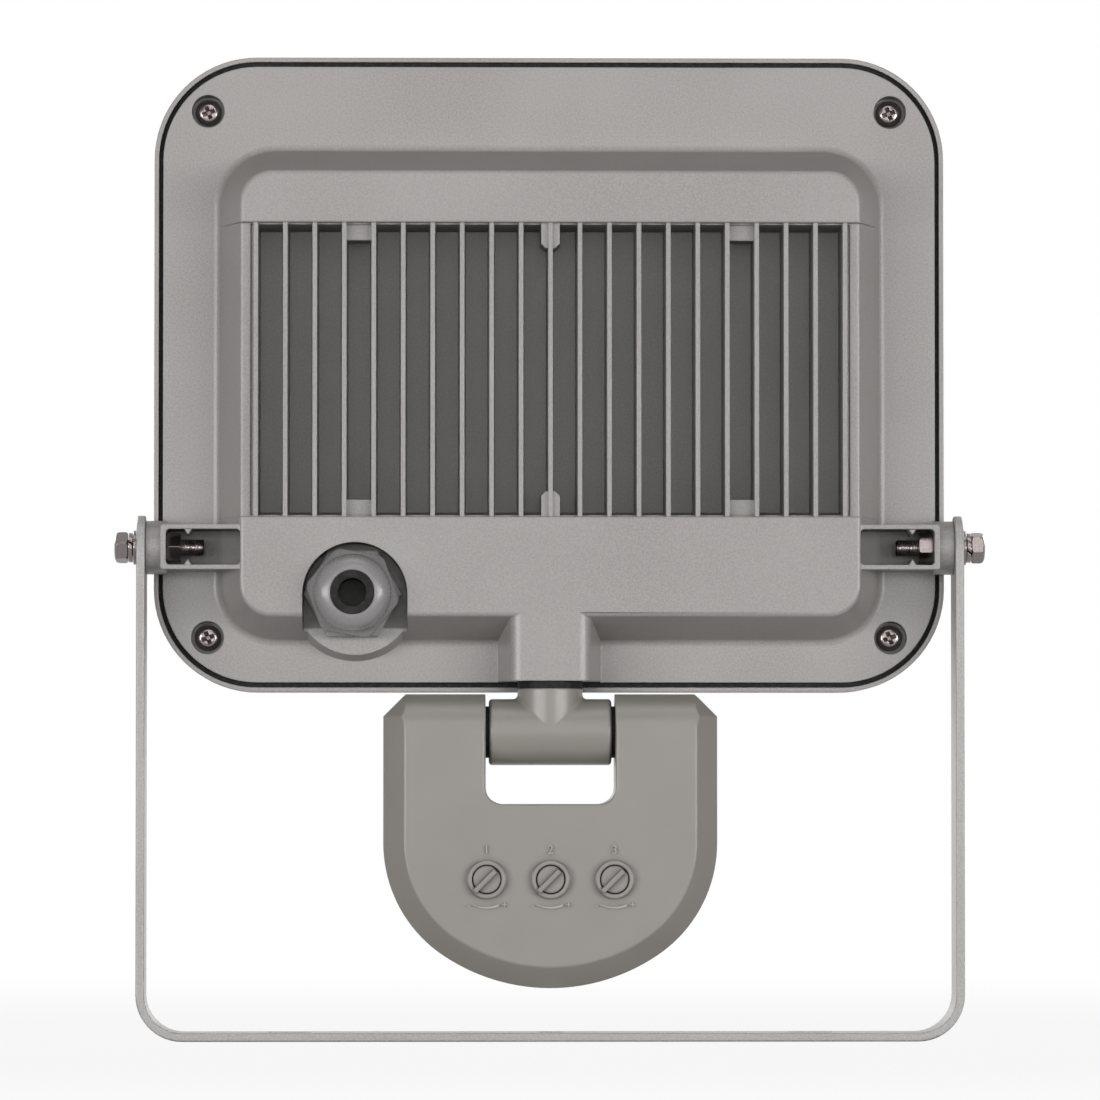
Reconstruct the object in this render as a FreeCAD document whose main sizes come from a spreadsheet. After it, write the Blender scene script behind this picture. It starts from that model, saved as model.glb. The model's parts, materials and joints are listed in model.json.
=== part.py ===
"""LED floodlight with a motion sensor on a folded wall bracket. All sizes are in millimetres.

The finished frame has X to the right, Y the way the light shines and Z up. Its origin is the
middle of the underside of the bracket's base. The lamp and the sensor head are drawn lying on
their front, so in their own frames x is to the right, y is up and z rises towards the back.
"""
import FreeCAD
import Part
import math
import os

import Sketcher
from FreeCAD import Placement, Rotation, Vector

SIZES = [
    ("bracket_width", 240.0, "outside the two legs"),
    ("strap_width", 20.0, "steel strap"),
    ("strap_thick", 2.5, "steel strap"),
    ("strap_round", 0.5, "edges of the strap"),
    ("leg_end_drop", 0.7, "middle of the round leg ends below the pivot axis"),
    ("bend_radius", 13.5, "outside of each fold"),
    ("pivot_height", 143.2, "pivot axis above the base"),
    ("pivot_hole", 5.5, "clearance hole for the pivot bolt"),
    ("centre_hole", 8.5, "hole in the middle of the base"),
    ("slot_spacing", 151.4, "between the middles of the two slots"),
    ("slot_length", 14.0, "end to end"),
    ("slot_width", 6.5, "for the wall screws"),

    ("bolt_dia", 5.0, "pivot bolt thread"),
    ("bolt_flats", 8.0, "across flats of head and nut"),
    ("bolt_head", 3.9, "height of the head"),
    ("bolt_corner", 0.8, "turned off the head's corners"),
    ("bolt_turn", 46.0, "degrees, as tightened"),
    ("bolt_length", 22.1, "under the head"),
    ("nut_thick", 4.2, "pivot nut"),
    ("nut_turn", 41.0, "degrees, as tightened"),
    ("flat_washer_dia", 10.0, "outside"),
    ("flat_washer_thick", 1.0, "plain washer"),
    ("spring_washer_dia", 8.6, "outside"),
    ("spring_washer_thick", 1.6, "split washer"),
    ("spring_washer_slit", 0.8, "width of the split"),
    ("pivot_gap", 0.1, "play between the bracket and what turns against it"),
    ("thread_gap", 0.05, "between a thread and its hole"),
    ("washer_gap", 0.2, "play of a washer round its bolt"),

    ("case_height", 194.4, "middle of the lamp above the base"),
    ("flange_width", 226.0, "casting"),
    ("flange_height", 180.4, "casting"),
    ("flange_radius", 27.5, "casting corners"),
    ("flange_ahead", 11.0, "rear face of the flange in front of the pivot axis"),
    ("flange_thick", 3.0, "casting"),
    ("dome_width", 193.4, "at the flange"),
    ("dome_top", 65.7, "above the middle, at the flange"),
    ("dome_bottom", 78.1, "below the middle, at the flange"),
    ("dome_radius", 17.0, "corners at the flange"),
    ("dome_depth", 21.0, "from the flange to the flat back"),
    ("draft_side", 6.8, "how far the side walls lean in"),
    ("draft_top", 7.8, "how far the top wall leans in"),
    ("draft_bottom", 6.95, "how far the bottom wall leans in"),
    ("back_radius", 9.0, "corners of the flat back"),
    ("back_fillet", 1.3, "round the edge of the flat back"),
    ("root_fillet", 2.2, "between dome and flange"),
    ("window_top", 43.0, "fin window above the middle"),
    ("window_bottom", 42.4, "fin window below the middle"),
    ("window_draft", 1.6, "lean of the window's walls"),
    ("window_round", 0.45, "its upper and lower edges"),
    ("web_thick", 5.0, "plate between the fins and the LED board"),
    ("fin_count", 21, "cooling fins"),
    ("fin_pitch", 8.55, "between fins"),
    ("fin_tip", 1.33, "thickness at the tip"),
    ("fin_root", 2.0, "thickness at the root"),
    ("fin_drop", 0.5, "tips below the flat back"),
    ("shelf_drop", 3.0, "side shelves below the flat back"),
    ("shelf_round", 1.0, "outer edge of the side shelves"),
    ("groove_wide", 0.5, "between a side shelf and the outermost fin"),
    ("groove_deep", 0.6, "between a side shelf and the outermost fin"),
    ("ejector_long", 5.0, "ejector pads between two fins"),
    ("ejector_drop", 4.0, "ejector pads below the flat back"),
    ("ejector_offset", 6.5, "pads from the middle, in fin pitches"),
    ("stub_width", 5.4, "bosses at the ends of the middle fin"),
    ("stub_long", 7.4, "bosses at the ends of the middle fin"),
    ("stub_corner", 1.35, "their cut corners"),
    ("stub_drop", 1.8, "bosses below the flat back"),
    ("arm_height", 13.0, "open pockets for the pivot nuts, outside"),
    ("arm_wall", 1.3, "pocket walls"),
    ("arm_drop", 0.6, "pocket walls below the flat back"),
    ("arm_floor", 7.0, "pocket floor in front of the pivot axis"),
    ("arm_end", 1.5, "wall that the pivot bolt passes through"),
    ("arm_round", 0.8, "outer corners of the pockets"),
    ("arm_corner", 1.2, "inner corners of the pockets"),
    ("rib_wide", 2.2, "locating ribs in the pockets"),
    ("rib_high", 1.6, "locating ribs in the pockets"),
    ("pivot_boss", 15.6, "diameter"),
    ("screw_across", 99.9, "case screws from the middle, sideways"),
    ("screw_up", 77.1, "case screws from the middle, up and down"),
    ("sink_dia", 9.6, "counterbore"),
    ("sink_deep", 6.6, "counterbore"),
    ("cup_dia", 11.6, "cup behind each counterbore"),
    ("cup_high", 5.5, "cup behind each counterbore"),
    ("tray_width", 195.0, "wall that carries the glass"),
    ("tray_height", 151.0, "wall that carries the glass"),
    ("tray_radius", 19.5, "corners"),
    ("tray_wall", 2.5, "thickness"),
    ("tray_deep", 11.0, "in front of the flange"),
    ("cavity_floor", 2.5, "thickness of the back over the front cavities"),
    ("cavity_left", 34.0, "driver cavity left of the middle"),
    ("cavity_right", 84.0, "driver cavity right of the middle"),
    ("cavity_high", 21.85, "driver cavity"),
    ("cavity_down", 46.0, "its upper wall below the middle"),
    ("upper_cavity_wide", 160.0, "hollow in the upper bar"),
    ("upper_cavity_high", 10.0, "hollow in the upper bar"),
    ("upper_cavity_up", 46.15, "its lower wall above the middle"),

    ("gland_across", 57.4, "gland left of the middle"),
    ("gland_down", 64.6, "gland below the middle"),
    ("gland_seat_across", 56.7, "boss and recess left of the middle"),
    ("gland_seat_down", 65.05, "boss and recess below the middle"),
    ("gland_boss_dia", 34.6, "at its face"),
    ("gland_boss_root", 37.8, "at the flange"),
    ("gland_boss_high", 8.0, "above the flange"),
    ("gland_recess_radius", 15.2, "U recess in the lower bar"),
    ("gland_thread", 20.0, "metric cable gland thread"),
    ("gland_flats", 25.0, "hexagon of the body"),
    ("gland_hex_high", 5.5, "hexagon of the body"),
    ("gland_neck", 17.6, "upper thread of the body"),
    ("gland_neck_high", 6.5, "upper thread of the body"),
    ("gland_bore", 13.0, "through the body"),
    ("gland_nut_flats", 24.0, "dome nut"),
    ("gland_nut_gap", 0.2, "between body hexagon and nut"),
    ("gland_nut_hex", 8.3, "height of its hexagon"),
    ("gland_nut_high", 16.3, "whole nut"),
    ("gland_mouth", 12.9, "opening of the nut"),
    ("gland_nut_dome", 18.6, "diameter at the mouth"),
    ("gland_nut_turn", 50.0, "degrees, as tightened"),
    ("gland_seal_dia", 12.8, "rubber insert"),
    ("gland_seal_bore", 8.2, "for the cord"),
    ("gland_seal_high", 16.5, "rubber insert"),

    ("neck_ahead", 0.3, "neck axis in front of the pivot axis"),
    ("neck_boss_back", 24.0, "width at the back"),
    ("neck_boss_root", 30.0, "width at the flange"),
    ("neck_boss_radius", 3.85, "rear corners"),
    ("neck_boss_down", 90.0, "its lower face below the middle"),
    ("neck_boss_top", 60.0, "where it ends inside the lower bar"),
    ("neck_wall", 5.0, "wall that the neck turns in"),
    ("neck_hollow", 21.0, "width of the hollow for the neck nut"),
    ("neck_hollow_back", 1.7, "wall behind the hollow"),
    ("neck_gap", 0.1, "play of the spigot in its hole"),

    ("frame_width", 231.2, "front frame"),
    ("frame_height", 185.9, "front frame"),
    ("frame_radius", 30.0, "corners"),
    ("frame_wall", 1.3, "rim"),
    ("frame_ahead", 11.5, "rear edge in front of the pivot axis"),
    ("frame_deep", 21.5, "rim"),
    ("frame_plate", 2.0, "front plate"),
    ("frame_round", 2.6, "front edge"),
    ("opening_width", 188.0, "window in the front plate"),
    ("opening_height", 144.0, "window in the front plate"),
    ("opening_radius", 16.0, "corners"),
    ("opening_bevel", 1.2, "front edge of the window"),
    ("post_dia", 8.0, "screw posts"),
    ("rib_thick", 1.5, "rib round the glass"),
    ("rib_deep", 3.5, "rib round the glass"),
    ("glass_width", 200.0, "toughened glass"),
    ("glass_height", 156.0, "toughened glass"),
    ("glass_radius", 22.0, "corners"),
    ("glass_thick", 4.0, "toughened glass"),
    ("glass_gap", 0.5, "between glass and rib"),
    ("gasket_thick", 2.0, "between tray and glass"),
    ("seal_recess", 1.8, "seal behind the rim's edge"),
    ("seal_lip", 1.2, "lip in front of the flange"),
    ("seal_thick", 1.5, "lip in front of the flange"),

    ("screw_head", 7.6, "case screw"),
    ("screw_head_high", 2.6, "case screw"),
    ("screw_shank", 3.5, "case screw"),
    ("screw_long", 12.0, "case screw"),
    ("screw_hole", 3.8, "clearance hole"),
    ("cross_long", 4.0, "cross recess"),
    ("cross_wide", 1.0, "cross recess"),
    ("cross_deep", 1.5, "cross recess"),

    ("board_width", 150.0, "LED board"),
    ("board_height", 84.0, "LED board"),
    ("board_thick", 1.6, "circuit boards"),
    ("board_gap", 3.0, "recess round the LED board"),
    ("led_size", 3.0, "one LED"),
    ("led_high", 0.7, "one LED"),
    ("led_columns", 12, "along the board"),
    ("led_rows", 8, "up the board"),
    ("led_pitch_x", 11.2, "along the board"),
    ("led_pitch_y", 8.8, "up the board"),
    ("small_screw_head", 5.6, "board screws"),
    ("small_screw_high", 1.8, "board screws"),
    ("small_cross_long", 2.8, "cross recess of the board screws"),
    ("small_cross_wide", 0.8, "cross recess of the board screws"),
    ("small_screw_dia", 3.0, "board screws"),
    ("small_screw_long", 5.6, "board screws"),
    ("board_screw_x", 71.0, "board screws from the middle, sideways"),
    ("board_screw_y", 38.0, "board screws from the middle, up and down"),
    ("reflector_round_board", 4.0, "inside, wider than the board on each side"),
    ("reflector_rear_radius", 6.0, "inside, at the board"),
    ("reflector_in_tray", 0.5, "outside, narrower than the tray on each side"),
    ("reflector_front_radius", 15.0, "inside, at the glass"),
    ("reflector_wall", 1.0, "thickness"),
    ("reflector_gap", 0.3, "between reflector and gasket"),

    ("driver_width", 82.0, "driver board"),
    ("driver_height", 19.0, "driver board"),
    ("driver_across", 39.0, "its middle right of the lamp's middle"),
    ("driver_post", 6.0, "posts under the driver board"),
    ("driver_post_spacing", 72.0, "between the posts"),
    ("driver_clear", 6.0, "board behind the flange's front face"),
    ("choke_long", 17.0, "transformer of the driver"),
    ("choke_wide", 13.0, "transformer of the driver"),
    ("choke_high", 11.0, "transformer of the driver"),
    ("capacitor_dia", 9.0, "capacitors of the driver"),
    ("capacitor_high", 12.0, "capacitors of the driver"),
    ("capacitor_step", 18.2, "from the transformer's middle"),
    ("terminal_long", 20.0, "terminal block"),
    ("terminal_wide", 14.0, "terminal block"),
    ("terminal_high", 10.5, "terminal block"),
    ("terminal_across", 21.0, "its middle left of the lamp's middle"),
    ("terminal_pitch", 6.65, "between its three ways"),
    ("terminal_hole", 3.6, "wire holes"),
    ("terminal_well", 2.6, "over each clamp screw"),

    ("tilt_height", 89.6, "tilt axis of the sensor above the base"),
    ("neck_dia", 18.9, "upright part of the T piece"),
    ("barrel_dia", 19.2, "cross part of the T piece"),
    ("barrel_long", 35.6, "barrel"),
    ("barrel_bore", 12.0, "barrel"),
    ("barrel_round", 1.0, "ends of the barrel"),
    ("neck_flare", 1.3, "between neck and barrel"),
    ("seal_ring_high", 2.2, "neck seal"),
    ("spigot_dia", 11.0, "turns in the casting"),
    ("spigot_bore", 7.0, "wire way"),
    ("spigot_spare", 1.0, "spigot beyond its nut"),
    ("neck_nut_flats", 14.0, "neck nut"),
    ("neck_nut_high", 4.0, "neck nut"),
    ("neck_washer_dia", 16.4, "neck washer"),
    ("neck_washer_thick", 1.0, "neck washer"),

    ("head_half", 48.45, "half the width of the sensor head"),
    ("head_top", 11.0, "above the tilt axis, and the radius round it"),
    ("head_cut", 6.5, "cut corners at the top"),
    ("head_side", 32.2, "straight sides end this far below the axis"),
    ("cheek_radius", 39.2, "arcs at the lower corners"),
    ("chin_radius", 55.7, "arc at the bottom"),
    ("head_wall", 2.0, "both shells"),
    ("head_solid", 10.0, "arms are solid down to here below the axis"),
    ("rear_bevel", 6.2, "round the back of the head"),
    ("front_bevel", 2.5, "round the front of the head"),
    ("face_round", 0.7, "edge between bevel and face"),
    ("notch_half", 18.8, "half the width of the U notch"),
    ("notch_down", 20.9, "its floor below the axis"),
    ("notch_radius", 5.0, "its corners"),
    ("notch_round", 0.8, "its edge"),
    ("axle_dia", 11.8, "tilt axle"),
    ("axle_bore", 7.0, "wire way"),
    ("axle_reach", 9.0, "into each arm"),
    ("axle_gap", 0.05, "round the axle"),
    ("friction_dia", 15.0, "friction washers"),
    ("friction_gap", 0.1, "beside the friction washers, in all"),

    ("lens_down", 47.6, "lens axis below the tilt axis"),
    ("lens_opening", 43.0, "in the front shell"),
    ("lens_gap", 0.2, "round the lens"),
    ("lens_high", 18.0, "in front of its flange"),
    ("lens_thick", 1.2, "moulded lens"),
    ("lens_flange", 1.5, "wider than the opening, each side"),
    ("sensor_board_width", 52.0, "sensor board"),
    ("sensor_board_height", 38.0, "sensor board"),
    ("sensor_board_down", 45.1, "its middle below the tilt axis"),
    ("sensor_board_ahead", 0.7, "its rear face in front of the split"),
    ("sensor_post", 5.0, "posts under the sensor board"),
    ("sensor_post_x", 22.0, "from the middle, sideways"),
    ("sensor_post_y", 15.0, "from the board's middle, up and down"),
    ("pyro_dia", 9.2, "infrared detector can"),
    ("pyro_high", 4.3, "infrared detector can"),
    ("pyro_rim", 10.2, "rim of the can"),
    ("photocell_dia", 5.0, "light sensor"),
    ("photocell_high", 2.4, "light sensor"),
    ("photocell_down", 11.0, "below the infrared detector"),

    ("dial_pitch", 18.5, "between the dials"),
    ("dial_down", 42.7, "below the tilt axis"),
    ("collar_dia", 11.0, "ring round each dial"),
    ("collar_high", 1.8, "ring round each dial"),
    ("dial_dia", 7.9, "dial"),
    ("dial_gap", 0.35, "round the dial"),
    ("dial_thick", 2.4, "dial"),
    ("dial_sunk", 0.5, "disc below the edge of its collar"),
    ("dial_stem", 4.0, "stem into the potentiometer"),
    ("bar_wide", 1.45, "pointer bar"),
    ("bar_clear", 0.15, "pointer bar above the collar"),
    ("bar_high", 0.9, "pointer bar"),
    ("bar_long_end", 5.0, "pointer bar, pointing end"),
    ("bar_short_end", 3.6, "pointer bar, other end"),
    ("dial_rest", 225.0, "degrees from the right, pointer at rest"),
    ("pot_size", 9.5, "potentiometer"),
    ("pot_high", 4.5, "potentiometer"),
    ("pot_hub", 6.4, "turning hub"),
    ("pot_hub_high", 0.8, "turning hub"),
    ("stem_gap", 0.3, "between hub and dial stem"),
]

SHEET = "sizes"
PLANE_FACES = {"XY_Plane": 1, "XZ_Plane": -1, "YZ_Plane": 1}
FLAT = "XY_Plane"
SIDE = "YZ_Plane"
TOP = "XZ_Plane"
PAST = 2.0
SMALLEST_CUT = 0.001
FLANK_PAST = 0.05


class Size:
    """A number together with the sheet formula that gives it."""

    def __init__(self, value, formula):
        self.value = float(value)
        self.formula = formula

    def __neg__(self):
        return Size(-self.value, f"(-{self.formula})")

    def __add__(self, other):
        other = as_size(other)
        return Size(self.value + other.value, f"({self.formula} + {other.formula})")

    def __radd__(self, other):
        return as_size(other) + self

    def __sub__(self, other):
        return self + (-as_size(other))

    def __rsub__(self, other):
        return as_size(other) + (-self)

    def __mul__(self, other):
        other = as_size(other)
        return Size(self.value * other.value, f"({self.formula} * {other.formula})")

    def __rmul__(self, other):
        return as_size(other) * self

    def __truediv__(self, other):
        other = as_size(other)
        return Size(self.value / other.value, f"({self.formula} / {other.formula})")

    def __lt__(self, other):
        return self.value < as_size(other).value


def as_size(number):
    """Wrap a plain number as a Size."""
    if isinstance(number, Size):
        return number
    return Size(number, repr(float(number)))


def root(size):
    """Square root of a Size."""
    return Size(math.sqrt(size.value), f"sqrt({size.formula})")


class Sheet:
    """The spreadsheet of driving sizes, with each size as an attribute."""

    def __init__(self, doc, rows):
        sheet = doc.addObject("Spreadsheet::Sheet", SHEET)
        for row, (name, value, note) in enumerate(rows, start=1):
            sheet.set(f"A{row}", name.replace("_", " "))
            sheet.set(f"B{row}", str(value))
            sheet.set(f"C{row}", note)
            sheet.setAlias(f"B{row}", name)
            setattr(self, name, Size(value, f"{SHEET}.{name}"))


doc = FreeCAD.newDocument("floodlight")
d = Sheet(doc, SIZES)
doc.recompute()

LYING_BACK = Rotation(Vector(1, 0, 0), 90)
UPRIGHT = Rotation()


def bind(item, field, size):
    """Set a length from its Size and tie it to the sheet."""
    item.setExpression(field, as_size(size).formula)


def new_body(name, x=0, y=0, z=0, turn=UPRIGHT):
    """Start a sub-part whose own origin stands at x, y, z of the finished frame."""
    body = doc.addObject("PartDesign::Body", name)
    body.Label = name
    body.AllowCompound = True
    body.Placement = Placement(Vector(0, 0, 0), turn)
    for axis, size in zip("xyz", (x, y, z)):
        bind(body, f"Placement.Base.{axis}", size)
    return body


def lamp_body(name):
    """A sub-part drawn in the lamp's own frame."""
    return new_body(name, z=d.case_height, turn=LYING_BACK)


def head_body(name, x=0, up=0, back=0, turn=0):
    """A sub-part drawn in the sensor head's own frame, whose origin is on the tilt axis."""
    turned = LYING_BACK.multiply(Rotation(Vector(0, 0, 1), turn))
    return new_body(name, x, d.neck_ahead - back, d.tilt_height + up, turned)


def origin_part(body, role):
    """The origin plane or axis of a body."""
    return next(part for part in body.Origin.OriginFeatures if part.Role == role)


def circle(x, y, dia):
    """A round loop."""
    return {"x": as_size(x), "y": as_size(y), "radius": as_size(dia) / 2}


def loop(*corners):
    """A closed loop of corners. A corner (x, y, radius) starts an arc to the next corner.

    A positive radius turns left on the way and a negative one turns right.
    """
    points = []
    for corner in corners:
        radius = as_size(corner[2]) if len(corner) > 2 else None
        points.append((as_size(corner[0]), as_size(corner[1]), radius))
    return points


def box(left, bottom, right, top):
    """A rectangular loop."""
    return loop((left, bottom), (right, bottom), (right, top), (left, top))


def middle_box(width, height, x=0, y=0):
    """A rectangular loop about a point."""
    half, rise = as_size(width) / 2, as_size(height) / 2
    return box(x - half, y - rise, x + half, y + rise)


def round_box(left, bottom, right, top, radius):
    """A rectangular loop with round corners."""
    return loop(
        (left + radius, bottom), (right - radius, bottom, radius),
        (right, bottom + radius), (right, top - radius, radius),
        (right - radius, top), (left + radius, top, radius),
        (left, top - radius), (left, bottom + radius, radius),
    )


def middle_round_box(width, height, radius, inset=0):
    """A rectangular loop with round corners about the origin, drawn inset on all sides."""
    half, rise = as_size(width) / 2 - inset, as_size(height) / 2 - inset
    return round_box(-half, -rise, half, rise, radius - as_size(inset))


def hexagon(flats, turn=0):
    """A six-sided loop about the origin."""
    reach = as_size(flats) / math.sqrt(3)
    corners = []
    for step in range(6):
        angle = math.radians(turn + 60 * step)
        corners.append((reach * math.cos(angle), reach * math.sin(angle)))
    return loop(*corners)


def hold(sketch, item, point, x, y):
    """Hold a point of a sketch at x, y."""
    for kind, size in (("DistanceX", x), ("DistanceY", y)):
        index = sketch.addConstraint(Sketcher.Constraint(kind, -1, 1, item, point, size.value))
        bind(sketch, f"Constraints[{index}]", size)


def hold_radius(sketch, item, radius):
    """Hold the radius of a round item of a sketch."""
    index = sketch.addConstraint(Sketcher.Constraint("Radius", item, radius.value))
    bind(sketch, f"Constraints[{index}]", radius)


def arc_between(start, end, radius):
    """The shorter arc of a signed radius from one point to another."""
    chord = end - start
    size = abs(radius)
    rise = math.sqrt(max(0.0, size * size - chord.Length ** 2 / 4))
    left = Vector(-chord.y, chord.x, 0).normalize()
    centre = (start + end) * 0.5 + left * math.copysign(rise, radius)
    first, last = (start, end) if radius > 0 else (end, start)
    angles = [math.atan2(point.y - centre.y, point.x - centre.x) for point in (first, last)]
    if angles[1] <= angles[0]:
        angles[1] += 2 * math.pi
    ring = Part.Circle(centre, Vector(0, 0, 1), size)
    return Part.ArcOfCircle(ring, angles[0], angles[1])


def draw_loop(sketch, points):
    """Draw one closed loop, each corner held from the sheet."""
    count = len(points)
    spots = [Vector(x.value, y.value, 0) for x, y, radius in points]
    ends = []
    for number, (x, y, radius) in enumerate(points):
        start, end = spots[number], spots[(number + 1) % count]
        if radius is None:
            ends.append((sketch.addGeometry(Part.LineSegment(start, end), False), 1, 2))
        elif radius.value > 0:
            ends.append((sketch.addGeometry(arc_between(start, end, radius.value), False), 1, 2))
        else:
            ends.append((sketch.addGeometry(arc_between(start, end, radius.value), False), 2, 1))
    for number, (item, start_point, end_point) in enumerate(ends):
        following, following_start, _ = ends[(number + 1) % count]
        joint = Sketcher.Constraint("Coincident", item, end_point, following, following_start)
        sketch.addConstraint(joint)
    for (x, y, radius), (item, start_point, end_point) in zip(points, ends):
        hold(sketch, item, start_point, x, y)
        if radius is not None:
            hold_radius(sketch, item, radius if radius.value > 0 else -radius)


def draw(body, name, plane, level, loops):
    """A sketch of closed loops on an origin plane of the body, moved to a level."""
    sketch = body.newObject("Sketcher::SketchObject", name)
    sketch.AttachmentSupport = [(origin_part(body, plane), "")]
    sketch.MapMode = "FlatFace"
    bind(sketch, "AttachmentOffset.Base.z", as_size(level) * PLANE_FACES[plane])
    for shape in loops:
        if isinstance(shape, dict):
            ring = Part.Circle(Vector(shape["x"].value, shape["y"].value, 0), Vector(0, 0, 1),
                               shape["radius"].value)
            item = sketch.addGeometry(ring, False)
            hold(sketch, item, 3, shape["x"], shape["y"])
            hold_radius(sketch, item, shape["radius"])
        else:
            draw_loop(sketch, shape)
    return sketch


def extrude(body, kind, name, plane, start, stop, loops):
    """Pad or pocket closed loops from one level to another."""
    start, stop = as_size(start), as_size(stop)
    feature = body.newObject(f"PartDesign::{kind}", name)
    feature.Profile = draw(body, f"{name}_outline", plane, start, loops)
    along = (stop - start) * PLANE_FACES[plane]
    faces_away = along.value < 0
    feature.Reversed = faces_away if kind == "Pad" else not faces_away
    bind(feature, "Length", stop - start if start < stop else start - stop)
    feature.Refine = False
    return feature


def pad(body, name, plane, start, stop, *loops):
    """Add material between two levels."""
    return extrude(body, "Pad", name, plane, start, stop, loops)


def pocket(body, name, plane, start, stop, *loops):
    """Take material away between two levels."""
    return extrude(body, "Pocket", name, plane, start, stop, loops)


def loft(body, name, start, stop, first, last, kind="AdditiveLoft"):
    """A straight-sided loft between two loops of like corners on the flat plane."""
    feature = body.newObject(f"PartDesign::{kind}", name)
    feature.Profile = draw(body, f"{name}_first", FLAT, start, [first])
    feature.Sections = [draw(body, f"{name}_last", FLAT, stop, [last])]
    feature.Ruled = True
    feature.Refine = False
    return feature


def turned(body, name, outline, kind="Revolution"):
    """A revolved outline. Its x is the distance from the body's z axis."""
    feature = body.newObject(f"PartDesign::{kind}", name)
    sketch = draw(body, f"{name}_outline", TOP, 0, [outline])
    feature.Profile = sketch
    feature.ReferenceAxis = (sketch, ["V_Axis"])
    return feature


def tip_shape(body):
    """The shape that the body has so far."""
    doc.recompute()
    return body.Tip.Shape


def soften(body, kind, name, field, size, wanted):
    """Fillet or chamfer the edges of the body that a test picks."""
    shape = tip_shape(body)
    names = [f"Edge{number}" for number, edge in enumerate(shape.Edges, start=1) if wanted(edge)]
    if not names:
        raise RuntimeError(f"{name} finds no edges")
    base = body.Tip
    feature = body.newObject(f"PartDesign::{kind}", name)
    feature.Base = (base, names)
    bind(feature, field, size)
    return feature


def fillet(body, name, radius, wanted):
    """Round the edges that a test picks."""
    return soften(body, "Fillet", name, "Radius", radius, wanted)


def chamfer(body, name, size, wanted):
    """Chamfer the edges that a test picks."""
    return soften(body, "Chamfer", name, "Size", size, wanted)


def at_level(level, tolerance=0.01):
    """A test for edges that lie flat at one z of their body."""
    height = as_size(level).value

    def lies_flat(edge):
        bounds = edge.BoundBox
        return abs(bounds.ZMin - height) < tolerance and abs(bounds.ZMax - height) < tolerance

    return lies_flat


def lies_within(edge, wide, low, high):
    """Whether an edge lies between two heights and no further out than a width, in its body's flat plane."""
    bounds = edge.BoundBox
    return max(-bounds.XMin, bounds.XMax) < wide and low < bounds.YMin and bounds.YMax < high


def row(body, name, features, axis, count, pitch):
    """Repeat features in a straight row."""
    feature = body.newObject("PartDesign::LinearPattern", name)
    feature.Originals = features
    feature.Direction = (origin_part(body, axis), [""])
    bind(feature, "Length", (count - 1) * pitch)
    bind(feature, "Occurrences", count)
    feature.Refine = False
    body.Tip = feature
    return feature


def mirrored(body, name, features, plane):
    """Repeat features on the other side of an origin plane."""
    feature = body.newObject("PartDesign::Mirrored", name)
    feature.Originals = features
    feature.MirrorPlane = (origin_part(body, plane), [""])
    feature.Refine = False
    body.Tip = feature
    return feature


def four_ways(body, name, features):
    """Repeat features in the four quarters of the flat plane."""
    both = body.newObject("PartDesign::MultiTransform", name)
    both.Originals = features
    steps = []
    for plane in (SIDE, TOP):
        step = body.newObject("PartDesign::Mirrored", f"{name}_{plane[:2].lower()}")
        step.MirrorPlane = (origin_part(body, plane), [""])
        steps.append(step)
    both.Transformations = steps
    both.Refine = False
    body.Tip = both
    return both


# Levels of the lamp, measured towards the back from the pivot axis
flange_rear = -d.flange_ahead
flange_front = flange_rear - d.flange_thick
back_level = flange_rear + d.dome_depth
gap_floor = flange_rear + d.web_thick
fin_level = back_level - d.fin_drop
arm_level = back_level - d.arm_drop
cavity_level = back_level - d.cavity_floor
gland_level = flange_rear + d.gland_boss_high
cup_level = flange_front - d.cup_high
sink_level = flange_rear - d.sink_deep
tray_front = flange_front - d.tray_deep
glass_rear = tray_front - d.gasket_thick
glass_front = glass_rear - d.glass_thick
frame_rear = -d.frame_ahead
frame_front = frame_rear - d.frame_deep
plate_rear = frame_front + d.frame_plate
pivot_down = d.pivot_height - d.case_height
board_rear = flange_rear
board_front = board_rear - d.board_thick
leg_inside = d.bracket_width / 2 - d.strap_thick
leg_outside = d.bracket_width / 2
boss_face = leg_inside - d.pivot_gap
arm_outside = d.flange_width / 2
arm_inside = arm_outside - d.arm_end
dome_back_half = d.dome_width / 2 - d.draft_side


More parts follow.
